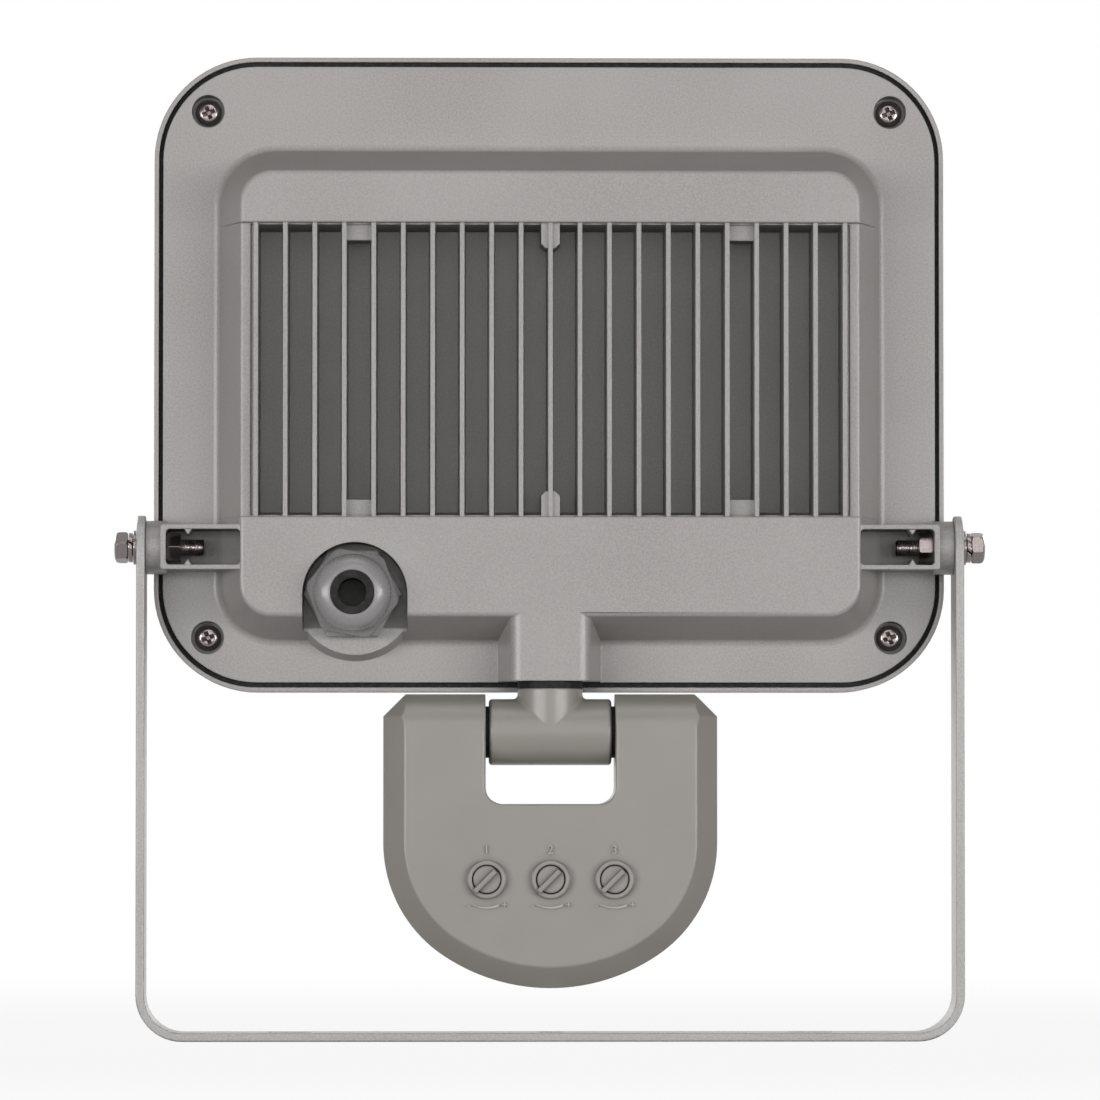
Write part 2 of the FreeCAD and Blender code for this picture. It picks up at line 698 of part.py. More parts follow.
def make_bracket():
    """One strap folded to a U. Its legs end in full radii round the pivot holes."""
    body = new_body("bracket")
    half, thick, bend = d.bracket_width / 2, d.strap_thick, d.bend_radius
    inner_bend = bend - thick
    top = d.pivot_height - d.leg_end_drop
    strap = loop(
        (-half + bend, 0), (half - bend, 0, bend), (half, bend), (half, top),
        (half - thick, top), (half - thick, bend, -inner_bend), (half - bend, thick),
        (-half + bend, thick, -inner_bend), (-half + thick, bend), (-half + thick, top),
        (-half, top), (-half, bend, bend),
    )
    pad(body, "strap", TOP, d.strap_width / 2, -d.strap_width / 2, strap)
    leg_end = pad(body, "leg_end", SIDE, leg_inside, leg_outside, circle(0, top, d.strap_width))
    mirrored(body, "leg_ends", [leg_end], SIDE).Refine = True
    wide = d.strap_width.value

    def along_strap(edge):
        middle = edge.valueAt((edge.FirstParameter + edge.LastParameter) / 2)
        across = edge.BoundBox.YLength
        at_side = across < SMALLEST_CUT and abs(abs(middle.y) * 2 - wide) < SMALLEST_CUT
        at_end = across > wide - PAST and middle.z > top.value + PAST
        return edge.Length > thick.value + PAST and (at_side or at_end)

    fillet(body, "strap_edges", d.strap_round, along_strap)
    hole = circle(0, d.pivot_height, d.pivot_hole)
    reach = leg_outside + PAST
    pocket(body, "pivot_holes", SIDE, -reach, reach, hole)
    pocket(body, "middle_hole", FLAT, -PAST, thick + PAST, circle(0, 0, d.centre_hole))
    run, radius = (d.slot_length - d.slot_width) / 2, d.slot_width / 2
    middle = d.slot_spacing / 2
    slot = loop((middle - run, -radius), (middle + run, -radius, radius),
                (middle + run + radius, 0, radius), (middle + run, radius),
                (middle - run, radius, radius), (middle - run - radius, 0, radius))
    one = pocket(body, "slot", FLAT, -PAST, thick + PAST, slot)
    mirrored(body, "slots", [one], SIDE)


def dome_loop(lean, radius):
    """Outline of the dome, leaning in by a share of its draft."""
    side = d.dome_width / 2 - d.draft_side * lean
    return round_box(-side, -d.dome_bottom + d.draft_bottom * lean,
                     side, d.dome_top - d.draft_top * lean, radius)


def make_fins(body):
    """The window in the dome, its fins, and the pads that ejector pins left between them.

    Beside the window the side walls lean more, so that the shelves end in line with the flat back.
    """
    fins_half = (d.fin_count - 1) * d.fin_pitch / 2
    wide = d.dome_width
    pocket(body, "shelves", FLAT, back_level + PAST, back_level - d.shelf_drop,
           box(-wide, -d.window_bottom, wide, d.window_top))
    shelf_level = back_level - d.shelf_drop
    turn = d.window_round
    edges = []
    for line, out in ((d.window_top, 1), (-d.window_bottom, -1)):
        edges.append(loop((line, back_level - turn, -turn * out), (line + turn * out, back_level),
                          (line + turn * out, back_level + PAST), (line, back_level + PAST)))
    pocket(body, "window_edges", SIDE, -wide, wide, *edges)
    foot_level = flange_rear + d.root_fillet
    foot = d.dome_width / 2 - d.draft_side * d.root_fillet / d.dome_depth
    below = FLANK_PAST * (shelf_level - foot_level)
    beside = FLANK_PAST * (foot - dome_back_half)
    flank = pocket(body, "flank", TOP, -d.window_bottom, d.window_top, loop(
        (dome_back_half, shelf_level), (foot + beside, foot_level - below),
        (wide, foot_level - below), (wide, back_level + PAST), (dome_back_half, back_level + PAST)))
    mirrored(body, "flanks", [flank], SIDE)
    on_shelf = at_level(shelf_level)
    window_high = (d.window_top + d.window_bottom).value

    def at_shelf_side(edge):
        return on_shelf(edge) and edge.BoundBox.YLength > window_high - PAST

    fillet(body, "shelf_edges", d.shelf_round, at_shelf_side)
    lean = d.window_draft
    side = fins_half + d.fin_root / 2 + d.groove_wide
    loft(body, "window", back_level + PAST, gap_floor,
         box(-side, -d.window_bottom, side, d.window_top),
         box(-side, -d.window_bottom + lean, side, d.window_top - lean), "SubtractiveLoft")
    root, tip = d.fin_root / 2, d.fin_tip / 2
    first = -fins_half
    section = loop((first - root, gap_floor), (first + root, gap_floor),
                   (first + tip, fin_level), (first - tip, fin_level))
    fin = pad(body, "fin", TOP, -d.window_bottom - lean, d.window_top + lean, section)
    row(body, "fins", [fin], "X_Axis", d.fin_count, d.fin_pitch)
    filler = pad(body, "groove_floor", FLAT, gap_floor, shelf_level - d.groove_deep,
                 box(-side - PAST, -d.window_bottom - lean, first, d.window_top + lean))
    mirrored(body, "groove_floors", [filler], SIDE)
    pad_middle = d.ejector_offset * d.fin_pitch
    pad_half = (d.fin_pitch - d.fin_tip) / 2
    ends = ((d.window_top - d.ejector_long, d.window_top + lean),
            (-d.window_bottom - lean, -d.window_bottom + d.ejector_long))
    ejector = [box(pad_middle - pad_half, low, pad_middle + pad_half, high) for low, high in ends]
    ejector_pads = pad(body, "ejector_pads", FLAT, gap_floor, back_level - d.ejector_drop, *ejector)
    mirrored(body, "all_ejector_pads", [ejector_pads], SIDE)
    half, cut = d.stub_width / 2, d.stub_corner
    top, low = d.window_top, -d.window_bottom
    upper = loop((-half, top + lean), (-half, top - d.stub_long + cut),
                 (-half + cut, top - d.stub_long), (half - cut, top - d.stub_long),
                 (half, top - d.stub_long + cut), (half, top + lean))
    lower = loop((half, low - lean), (half, low + d.stub_long - cut),
                 (half - cut, low + d.stub_long), (-half + cut, low + d.stub_long),
                 (-half, low + d.stub_long - cut), (-half, low - lean))
    pad(body, "stubs", FLAT, gap_floor, back_level - d.stub_drop, upper, lower)


def make_arms(body):
    """An open pocket at each side for the pivot nut, with its end wall and round boss."""
    low, high = pivot_down - d.arm_height / 2, pivot_down + d.arm_height / 2
    root = d.dome_width / 2 - d.draft_side - PAST
    turn = d.arm_round
    outline = loop((root, low), (arm_outside - turn, low, turn), (arm_outside, low + turn),
                   (arm_outside, high - turn, turn), (arm_outside - turn, high), (root, high))
    arm = pad(body, "arm", FLAT, flange_rear, arm_level, outline)
    boss = pad(body, "boss", SIDE, arm_inside, boss_face, circle(pivot_down, 0, d.pivot_boss))
    mirrored(body, "arms", [arm, boss], SIDE)
    wall = d.arm_wall
    hollow = pocket(body, "arm_pocket", FLAT, back_level + PAST, -d.arm_floor,
                    round_box(dome_back_half, low + wall, arm_inside, high - wall, d.arm_corner))
    hole = pocket(body, "bolt_hole", SIDE, dome_back_half, leg_inside + PAST,
                  circle(pivot_down, 0, d.pivot_hole))
    mirrored(body, "arm_pockets", [hollow, hole], SIDE)
    middle = arm_inside - d.nut_thick - d.rib_wide
    half = d.rib_wide / 2
    ribs = []
    for wall_line, inwards in ((low + wall, 1), (high - wall, -1)):
        ribs.append(loop((middle - half, wall_line - wall / 2 * inwards),
                         (middle + half, wall_line - wall / 2 * inwards),
                         (middle + half, wall_line),
                         (middle, wall_line + d.rib_high * inwards),
                         (middle - half, wall_line)))
    rib = pad(body, "arm_ribs", FLAT, -d.arm_floor, arm_level - d.arm_wall, *ribs)
    mirrored(body, "all_arm_ribs", [rib], SIDE)


def make_gland_seat(body):
    """The round boss that the cable gland screws into, at the foot of a U recess."""
    x, y = -d.gland_seat_across, -d.gland_seat_down
    loft(body, "gland_boss", flange_rear, gland_level,
         circle(x, y, d.gland_boss_root), circle(x, y, d.gland_boss_dia))
    radius = d.gland_recess_radius
    floor = y - d.gland_boss_root
    recess = loop((x + radius, floor), (x + radius, y, radius), (x, y + radius, radius),
                  (x - radius, y), (x - radius, floor))
    pocket(body, "gland_recess", FLAT, back_level + PAST, gland_level, recess)
    thread = d.gland_thread + 2 * d.thread_gap
    pocket(body, "gland_hole", FLAT, gland_level + PAST, flange_front - PAST,
           circle(-d.gland_across, -d.gland_down, thread))


def make_neck_boss(body):
    """The boss under the lower bar in which the sensor's neck turns, hollow from the front."""
    root, half, radius = d.neck_boss_root / 2, d.neck_boss_back / 2, d.neck_boss_radius
    section = loop(
        (-root, flange_rear), (root, flange_rear), (half, back_level - radius, radius),
        (half - radius, back_level), (-half + radius, back_level, radius),
        (-half, back_level - radius),
    )
    bottom = -d.neck_boss_down
    pad(body, "neck_boss", TOP, bottom, -d.neck_boss_top, section)
    floor = bottom + d.neck_wall
    hollow = d.neck_hollow / 2
    pocket(body, "neck_hollow", FLAT, flange_front - PAST, back_level - d.neck_hollow_back,
           box(-hollow, floor, hollow, -d.cavity_down - d.cavity_high / 2))
    hole = d.spigot_dia + 2 * d.neck_gap
    pocket(body, "neck_hole", TOP, bottom - PAST, floor + PAST, circle(0, -d.neck_ahead, hole))


def make_front_side(body):
    """What the casting has towards the front: tray wall, screw cups and the hollows."""
    tray = middle_round_box(d.tray_width, d.tray_height, d.tray_radius)
    inside = middle_round_box(d.tray_width, d.tray_height, d.tray_radius, d.tray_wall)
    pad(body, "tray_wall", FLAT, flange_front, tray_front, tray, inside)
    cup = pad(body, "cup", FLAT, flange_front, cup_level, circle(d.screw_across, d.screw_up, d.cup_dia))
    four_ways(body, "cups", [cup])
    sink = pocket(body, "sink", FLAT, flange_rear + PAST, sink_level,
                  circle(d.screw_across, d.screw_up, d.sink_dia))
    hole = pocket(body, "screw_hole", FLAT, sink_level + PAST, cup_level - PAST,
                  circle(d.screw_across, d.screw_up, d.screw_hole))
    four_ways(body, "sinks", [sink, hole])
    seat = middle_box(d.board_width + 2 * d.board_gap, d.board_height + 2 * d.board_gap)
    pocket(body, "board_recess", FLAT, flange_front - PAST, flange_rear, seat)
    low = -d.cavity_down - d.cavity_high
    driver = box(-d.cavity_left, low, d.cavity_right, -d.cavity_down)
    half = d.upper_cavity_wide / 2
    upper = box(-half, d.upper_cavity_up, half, d.upper_cavity_up + d.upper_cavity_high)
    pocket(body, "cavities", FLAT, flange_front - PAST, cavity_level, driver, upper)
    posts = [circle(x, driver_up, d.driver_post) for x in driver_post_places]
    pad(body, "driver_posts", FLAT, cavity_level, driver_rear, *posts)
    holes = [circle(x, driver_up, small_hole) for x in driver_post_places]
    pocket(body, "driver_post_holes", FLAT, driver_rear - PAST, driver_rear + small_hole_deep, *holes)
    for number, x in enumerate((d.board_screw_x, as_size(0))):
        tapped = pocket(body, f"board_hole_{number}", FLAT, board_rear - PAST,
                        board_rear + small_hole_deep, circle(x, d.board_screw_y, small_hole))
        four_ways(body, f"board_holes_{number}", [tapped])


driver_up = -d.cavity_down - d.cavity_high / 2
driver_front = flange_front + d.driver_clear
driver_rear = driver_front + d.board_thick
driver_post_places = (d.driver_across - d.driver_post_spacing / 2,
                      d.driver_across + d.driver_post_spacing / 2)
small_hole = d.small_screw_dia + 2 * d.thread_gap
small_hole_deep = d.small_screw_long - d.board_thick + d.thread_gap


def make_rear_housing():
    """The die-cast back: flange, drafted dome with fins, side pockets, gland and neck bosses."""
    body = lamp_body("rear_housing")
    flange = middle_round_box(d.flange_width, d.flange_height, d.flange_radius)
    pad(body, "flange", FLAT, flange_front, flange_rear, flange)
    loft(body, "dome", flange_rear, back_level, dome_loop(0, d.dome_radius), dome_loop(1, d.back_radius))
    fillet(body, "back_edge", d.back_fillet, at_level(back_level))
    on_flange = at_level(flange_rear)
    reach = d.dome_width.value / 2 + PAST
    low, high = -d.dome_bottom.value - PAST, d.dome_top.value + PAST

    def at_dome_root(edge):
        return on_flange(edge) and lies_within(edge, reach, low, high)

    fillet(body, "dome_root", d.root_fillet, at_dome_root)
    make_gland_seat(body)
    make_neck_boss(body)
    make_front_side(body)
    make_arms(body)
    make_fins(body)


def make_front_frame():
    """The frame that holds the glass. Its rim reaches back round the flange."""
    body = lamp_body("front_frame")
    outer = middle_round_box(d.frame_width, d.frame_height, d.frame_radius)
    inner = middle_round_box(d.frame_width, d.frame_height, d.frame_radius, d.frame_wall)
    pad(body, "shell", FLAT, frame_rear, frame_front, outer)
    fillet(body, "front_edge", d.frame_round, at_level(frame_front))
    pocket(body, "inside", FLAT, frame_rear + PAST, plate_rear, inner)
    opening = middle_round_box(d.opening_width, d.opening_height, d.opening_radius)
    pocket(body, "opening", FLAT, plate_rear + PAST, frame_front - PAST, opening)
    on_front = at_level(frame_front)
    reach, high = d.opening_width.value / 2 + PAST, d.opening_height.value / 2 + PAST

    def at_opening(edge):
        return on_front(edge) and lies_within(edge, reach, -high, high)

    chamfer(body, "opening_edge", d.opening_bevel, at_opening)
    post = pad(body, "post", FLAT, plate_rear, cup_level, circle(d.screw_across, d.screw_up, d.post_dia))
    four_ways(body, "posts", [post])
    pilot = d.screw_shank + 2 * d.thread_gap
    hole = pocket(body, "pilot", FLAT, cup_level + PAST, sink_level - d.screw_long - d.thread_gap,
                  circle(d.screw_across, d.screw_up, pilot))
    four_ways(body, "pilots", [hole])
    inset = -d.glass_gap
    rib_inside = middle_round_box(d.glass_width, d.glass_height, d.glass_radius, inset)
    rib_outside = middle_round_box(d.glass_width, d.glass_height, d.glass_radius, inset - d.rib_thick)
    pad(body, "rib", FLAT, plate_rear, plate_rear + d.rib_deep, rib_outside, rib_inside)


def make_seals_and_glass():
    """The glass, the gasket that it is pressed on, and the black seal round the flange."""
    glass = lamp_body("glass")
    pad(glass, "pane", FLAT, glass_rear, glass_front,
        middle_round_box(d.glass_width, d.glass_height, d.glass_radius))
    gasket = lamp_body("glass_gasket")
    pad(gasket, "ring", FLAT, tray_front, glass_rear,
        middle_round_box(d.tray_width, d.tray_height, d.tray_radius),
        middle_round_box(d.tray_width, d.tray_height, d.tray_radius, d.tray_wall))
    seal = lamp_body("perimeter_seal")
    outer = middle_round_box(d.frame_width, d.frame_height, d.frame_radius, d.frame_wall)
    flange = middle_round_box(d.flange_width, d.flange_height, d.flange_radius)
    lip = middle_round_box(d.flange_width, d.flange_height, d.flange_radius, d.seal_lip)
    pad(seal, "gap_filler", FLAT, frame_rear - d.seal_recess, flange_front, outer, flange)
    pad(seal, "lip", FLAT, flange_front, flange_front - d.seal_thick, outer, lip)


def cross(x, y, length, width):
    """The outline of a cross recess."""
    long, half = length / 2, width / 2
    return loop(
        (x - half, y - long), (x + half, y - long), (x + half, y - half), (x + long, y - half),
        (x + long, y + half), (x + half, y + half), (x + half, y + long), (x - half, y + long),
        (x - half, y + half), (x - long, y + half), (x - long, y - half), (x - half, y - half),
    )


def add_screw(body, name, x, y, seat, towards, head, high, shank, length, recess):
    """A pan-head screw whose head lies on a level and rises towards the back (1) or front (-1)."""
    top = seat + high * towards
    round_edge = high / 2
    pieces = [
        pad(body, f"{name}_head", FLAT, seat, top - round_edge * towards, circle(x, y, head)),
        loft(body, f"{name}_crown", top - round_edge * towards, top,
             circle(x, y, head), circle(x, y, head - high)),
        pad(body, f"{name}_shank", FLAT, seat, seat - length * towards, circle(x, y, shank)),
    ]
    drive = pocket(body, f"{name}_recess", FLAT, top + PAST * towards, top - recess[2] * towards,
                   cross(x, y, recess[0], recess[1]))
    return pieces + [drive]


def make_screws():
    """Four case screws from the back, and the small screws of the two boards."""
    case = lamp_body("frame_screws")
    pieces = add_screw(case, "screw", d.screw_across, d.screw_up, sink_level, 1, d.screw_head,
                       d.screw_head_high, d.screw_shank, d.screw_long,
                       (d.cross_long, d.cross_wide, d.cross_deep))
    four_ways(case, "screws", pieces)
    recess = (d.small_cross_long, d.small_cross_wide, d.small_screw_high / 2)
    small = (d.small_screw_head, d.small_screw_high, d.small_screw_dia, d.small_screw_long, recess)
    board = lamp_body("led_board_screws")
    corner = add_screw(board, "corner", d.board_screw_x, d.board_screw_y, board_front, -1, *small)
    four_ways(board, "corners", corner)
    middle = add_screw(board, "middle", as_size(0), d.board_screw_y, board_front, -1, *small)
    mirrored(board, "middles", middle, TOP)
    driver = lamp_body("driver_screws")
    for number, x in enumerate(driver_post_places):
        add_screw(driver, f"screw_{number}", x, driver_up, driver_front, -1, *small)


def make_led_board():
    """The aluminium LED board, its grid of LEDs and the reflector in front of it."""
    board = lamp_body("led_board")
    pad(board, "plate", FLAT, board_rear, board_front, middle_box(d.board_width, d.board_height))
    for number, x in enumerate((d.board_screw_x, as_size(0))):
        hole = pocket(board, f"hole_{number}", FLAT, board_rear + PAST, board_front - PAST,
                      circle(x, d.board_screw_y, small_hole))
        four_ways(board, f"holes_{number}", [hole])
    leds = lamp_body("leds")
    x = -(d.led_columns - 1) * d.led_pitch_x / 2
    y = -(d.led_rows - 1) * d.led_pitch_y / 2
    chip = pad(leds, "chip", FLAT, board_front, board_front - d.led_high,
               middle_box(d.led_size, d.led_size, x, y))
    grid = leds.newObject("PartDesign::MultiTransform", "grid")
    grid.Originals = [chip]
    steps = []
    for name, axis, count, pitch in (("columns", "X_Axis", d.led_columns, d.led_pitch_x),
                                     ("rows", "Y_Axis", d.led_rows, d.led_pitch_y)):
        step = leds.newObject("PartDesign::LinearPattern", name)
        step.Direction = (origin_part(leds, axis), [""])
        bind(step, "Length", (count - 1) * pitch)
        bind(step, "Occurrences", count)
        steps.append(step)
    grid.Transformations = steps
    leds.Tip = grid
    reflector = lamp_body("reflector")
    front = glass_rear + d.reflector_gap + d.gasket_thick
    wall = d.reflector_wall
    rear_wide = d.board_width + 2 * d.reflector_round_board
    rear_high = d.board_height + 2 * d.reflector_round_board
    within = d.tray_wall + d.reflector_in_tray + wall
    front_wide, front_high = d.tray_width - 2 * within, d.tray_height - 2 * within
    rear_loop = middle_round_box(rear_wide, rear_high, d.reflector_rear_radius)
    front_loop = middle_round_box(front_wide, front_high, d.reflector_front_radius)
    rear_outside = middle_round_box(rear_wide, rear_high, d.reflector_rear_radius, -wall)
    front_outside = middle_round_box(front_wide, front_high, d.reflector_front_radius, -wall)
    loft(reflector, "outside", flange_front, front, rear_outside, front_outside)
    loft(reflector, "inside", flange_front, front, rear_loop, front_loop, "SubtractiveLoft")


def make_driver():
    """The driver board in the lower bar, its components and the terminal block beside it."""
    board = lamp_body("driver_board")
    x = d.driver_across
    pad(board, "plate", FLAT, driver_rear, driver_front,
        middle_box(d.driver_width, d.driver_height, x, driver_up))
    holes = [circle(place, driver_up, small_hole) for place in driver_post_places]
    pocket(board, "holes", FLAT, driver_rear + PAST, driver_front - PAST, *holes)
    parts = lamp_body("driver_parts")
    pad(parts, "choke", FLAT, driver_rear, driver_rear + d.choke_high,
        middle_box(d.choke_long, d.choke_wide, x, driver_up))
    capacitors = [circle(x + d.capacitor_step * side, driver_up, d.capacitor_dia) for side in (-1, 1)]
    pad(parts, "capacitors", FLAT, driver_rear, driver_rear + d.capacitor_high, *capacitors)
    block = lamp_body("terminal_block")
    x, half = -d.terminal_across, d.terminal_wide / 2
    top = cavity_level - d.terminal_high
    pad(block, "block", FLAT, cavity_level, top, middle_box(d.terminal_long, d.terminal_wide, x, driver_up))
    ports, screws = [], []
    for number in (-1, 0, 1):
        way = x + d.terminal_pitch * number
        ports.append(circle(way, (top + cavity_level) / 2, d.terminal_hole))
        screws.append(circle(way, driver_up, d.terminal_hole))
    pocket(block, "wire_holes", TOP, driver_up - half - PAST, driver_up + half + PAST, *ports)
    pocket(block, "screw_wells", FLAT, top - PAST, top + d.terminal_well, *screws)


def gland_body(name, turn=0):
    """A sub-part of the cable gland, drawn round the gland's axis."""
    turned_back = LYING_BACK.multiply(Rotation(Vector(0, 0, 1), turn))
    return new_body(name, -d.gland_across, 0, d.case_height - d.gland_down, turned_back)


def make_gland():
    """Cable gland: body screwed into the casting, rubber insert and domed nut, with no cord."""
    body = gland_body("gland_body")
    hex_top = gland_level + d.gland_hex_high
    pad(body, "hexagon", FLAT, gland_level, hex_top, hexagon(d.gland_flats))
    neck_top = hex_top + d.gland_neck_high
    pad(body, "neck", FLAT, hex_top, neck_top, circle(0, 0, d.gland_neck))
    pad(body, "thread", FLAT, gland_level, flange_front, circle(0, 0, d.gland_thread))
    pocket(body, "bore", FLAT, neck_top + PAST, flange_front - PAST, circle(0, 0, d.gland_bore))
    nut = gland_body("gland_nut", d.gland_nut_turn.value)
    nut_rear = hex_top + d.gland_nut_gap
    shoulder = nut_rear + d.gland_nut_hex
    top = nut_rear + d.gland_nut_high
    pad(nut, "hexagon", FLAT, nut_rear, shoulder, hexagon(d.gland_nut_flats))
    flats, mouth = d.gland_nut_flats / 2, d.gland_nut_dome / 2
    rise = top - shoulder
    lean = flats - mouth
    sweep = (rise * rise + lean * lean) / (2 * lean)
    turned(nut, "dome", loop((0, shoulder), (flats, shoulder, sweep), (mouth, top), (0, top)))
    inside = d.gland_neck + 2 * d.thread_gap
    pocket(nut, "thread", FLAT, nut_rear - PAST, neck_top + d.gland_nut_gap, circle(0, 0, inside))
    pocket(nut, "mouth", FLAT, nut_rear - PAST, top + PAST, circle(0, 0, d.gland_mouth))
    seal = gland_body("gland_seal")
    seal_top = top - d.gland_nut_gap * 2
    pad(seal, "insert", FLAT, seal_top - d.gland_seal_high, seal_top, circle(0, 0, d.gland_seal_dia),
        circle(0, 0, d.gland_seal_bore))


def chamfer_hexagon(body, name, flats, top, rounding):
    """Turn the outer corners off a hexagon's top face, as on a cold-formed head."""
    reach = flats / math.sqrt(3)
    edge = loop((flats / 2, top + PAST), (flats / 2, top), (reach, top - rounding),
                (reach + PAST, top - rounding), (reach + PAST, top + PAST))
    turned(body, name, edge, "Groove")


def make_pivot_hardware(side, side_name):
    """Bolt, washers and nut of one pivot. Their own z axis points outwards."""
    outwards = Rotation(Vector(0, 1, 0), 90 * side)

    def hardware(name):
        return new_body(f"{name}_{side_name}", z=d.pivot_height, turn=outwards)

    flat_seat = leg_outside + d.pivot_gap
    spring_seat = flat_seat + d.flat_washer_thick
    head_seat = spring_seat + d.spring_washer_thick
    bolt = hardware("pivot_bolt")
    top = head_seat + d.bolt_head
    pad(bolt, "head", FLAT, head_seat, top, hexagon(d.bolt_flats, d.bolt_turn.value))
    chamfer_hexagon(bolt, "head_corners", d.bolt_flats, top, d.bolt_corner)
    pad(bolt, "shank", FLAT, head_seat, head_seat - d.bolt_length, circle(0, 0, d.bolt_dia))
    hole = d.bolt_dia + 2 * d.washer_gap
    flat = hardware("flat_washer")
    pad(flat, "ring", FLAT, flat_seat, spring_seat, circle(0, 0, d.flat_washer_dia), circle(0, 0, hole))
    spring = hardware("spring_washer")
    pad(spring, "ring", FLAT, spring_seat, head_seat, circle(0, 0, d.spring_washer_dia),
        circle(0, 0, hole))
    slit = d.spring_washer_slit / 2
    pocket(spring, "slit", FLAT, spring_seat - PAST, head_seat + PAST,
           box(-slit, -d.spring_washer_dia, slit, 0))
    nut = hardware("pivot_nut")
    pad(nut, "hexagon", FLAT, arm_inside - d.nut_thick, arm_inside,
        hexagon(d.bolt_flats, d.nut_turn.value))
    thread = d.bolt_dia + 2 * d.thread_gap
    pocket(nut, "thread", FLAT, arm_inside - d.nut_thick - PAST, arm_inside + PAST,
           circle(0, 0, thread))


def make_knuckle():
    """The T piece between lamp and sensor, the seal under the lamp, and the nut inside it."""
    seal_bottom = d.case_height - d.neck_boss_down - d.seal_ring_high - d.tilt_height
    seal_top = seal_bottom + d.seal_ring_high
    wall_top = seal_top + d.neck_wall
    nut_bottom = wall_top + d.neck_washer_thick
    nut_top = nut_bottom + d.neck_nut_high
    spigot_top = nut_top + d.spigot_spare

    def on_neck(name):
        return new_body(name, 0, d.neck_ahead, d.tilt_height)

    body = on_neck("knuckle")
    half = d.barrel_long / 2
    pad(body, "barrel", SIDE, -half, half, circle(0, 0, d.barrel_dia))
    fillet(body, "barrel_ends", d.barrel_round, lambda edge: edge.Curve.TypeId == "Part::GeomCircle")
    pad(body, "neck", FLAT, 0, seal_bottom, circle(0, 0, d.neck_dia))
    fillet(body, "neck_flare", d.neck_flare, lambda edge: edge.Curve.TypeId == "Part::GeomBSplineCurve")
    pad(body, "spigot", FLAT, seal_bottom, spigot_top, circle(0, 0, d.spigot_dia))
    pocket(body, "barrel_bore", SIDE, -half - PAST, half + PAST, circle(0, 0, d.barrel_bore))
    pocket(body, "wire_way", FLAT, spigot_top + PAST, 0, circle(0, 0, d.spigot_bore))
    seal = on_neck("neck_seal")
    hole = d.spigot_dia + 2 * d.neck_gap
    pad(seal, "ring", FLAT, seal_bottom, seal_top, circle(0, 0, d.neck_dia), circle(0, 0, hole))
    washer = on_neck("neck_washer")
    pad(washer, "ring", FLAT, wall_top, nut_bottom, circle(0, 0, d.neck_washer_dia),
        circle(0, 0, hole))
    nut = on_neck("neck_nut")
    thread = d.spigot_dia + 2 * d.thread_gap
    pad(nut, "hexagon", FLAT, nut_bottom, nut_top, hexagon(d.neck_nut_flats), circle(0, 0, thread))
    for side, side_name in ((-1, "left"), (1, "right")):
        ring = on_neck(f"friction_washer_{side_name}")
        inner = half + d.friction_gap / 2
        outer = d.notch_half - d.friction_gap / 2
        bore = d.axle_dia + 2 * d.washer_gap
        pad(ring, "ring", SIDE, inner * side, outer * side, circle(0, 0, d.friction_dia),
            circle(0, 0, bore))


def head_loop(inset, top):
    """Outline of the sensor head, drawn inset: straight sides, cheek arcs and a chin arc."""
    half = d.head_half - inset
    side = -d.head_side
    centre_x = d.head_half - d.cheek_radius
    spread = d.chin_radius - d.cheek_radius
    centre_y = root(spread * spread - centre_x * centre_x)
    cheek, chin = d.cheek_radius - inset, d.chin_radius - inset
    join_x = chin * centre_x / spread
    join_y = side + centre_y - chin * centre_y / spread
    shoulder = top - d.head_cut
    return loop(
        (-half, side, cheek), (-join_x, join_y, chin), (join_x, join_y, cheek), (half, side),
        (half, shoulder), (half - d.head_cut, top), (-half + d.head_cut, top), (-half, shoulder),
    )


def make_head_shell(name, side, bevel):
    """One half of the sensor head. It grows from the split towards the back (1) or front (-1)."""
    body = head_body(name)
    depth, wall, top = d.head_top, d.head_wall, d.head_top
    straight = depth - bevel
    pad(body, "sides", FLAT, 0, straight * side, head_loop(as_size(0), top))
    loft(body, "bevel", straight * side, depth * side, head_loop(as_size(0), top), head_loop(bevel, top))
    fillet(body, "face_edge", d.face_round, at_level(depth * side))
    slope_gain = math.sqrt(2) - 1
    inner_straight = straight - wall * slope_gain
    low_top = -d.head_solid
    pocket(body, "hollow", FLAT, 0, inner_straight * side, head_loop(wall, low_top))
    loft(body, "hollow_bevel", inner_straight * side, (depth - wall) * side,
         head_loop(wall, low_top), head_loop(bevel + wall * slope_gain, low_top), "SubtractiveLoft")
    half, floor, radius = d.notch_half, -d.notch_down, d.notch_radius
    outer = half + wall
    surround = loop(
        (-outer + radius + wall, floor - wall), (outer - radius - wall, floor - wall, radius + wall),
        (outer, floor + radius), (outer, top), (-outer, top), (-outer, floor + radius, radius + wall),
    )
    pad(body, "notch_wall", FLAT, 0, depth * side, surround)
    notch = loop(
        (-half + radius, floor), (half - radius, floor, radius), (half, floor + radius),
        (half, top + PAST), (-half, top + PAST), (-half, floor + radius, radius),
    )
    pocket(body, "notch", FLAT, -PAST * side, (depth + PAST) * side, notch)
    end = depth * side
    on_face = at_level(end)
    wide, low = half.value + SMALLEST_CUT, floor.value - SMALLEST_CUT

    def at_notch(edge):
        return on_face(edge) and lies_within(edge, wide, low, top.value + PAST)

    fillet(body, "notch_edge", d.notch_round, at_notch)
    crown = loop((top, 0, top * side), (0, top * side), (0, (top + PAST) * side),
                 (top + PAST, (top + PAST) * side), (top + PAST, 0))
    reach = d.head_half + PAST
    pocket(body, "crown", SIDE, -reach, reach, crown)
    grip = d.notch_half + d.axle_reach
    pocket(body, "axle_groove", SIDE, -grip, grip, circle(0, 0, d.axle_dia + 2 * d.axle_gap))
    return body, end


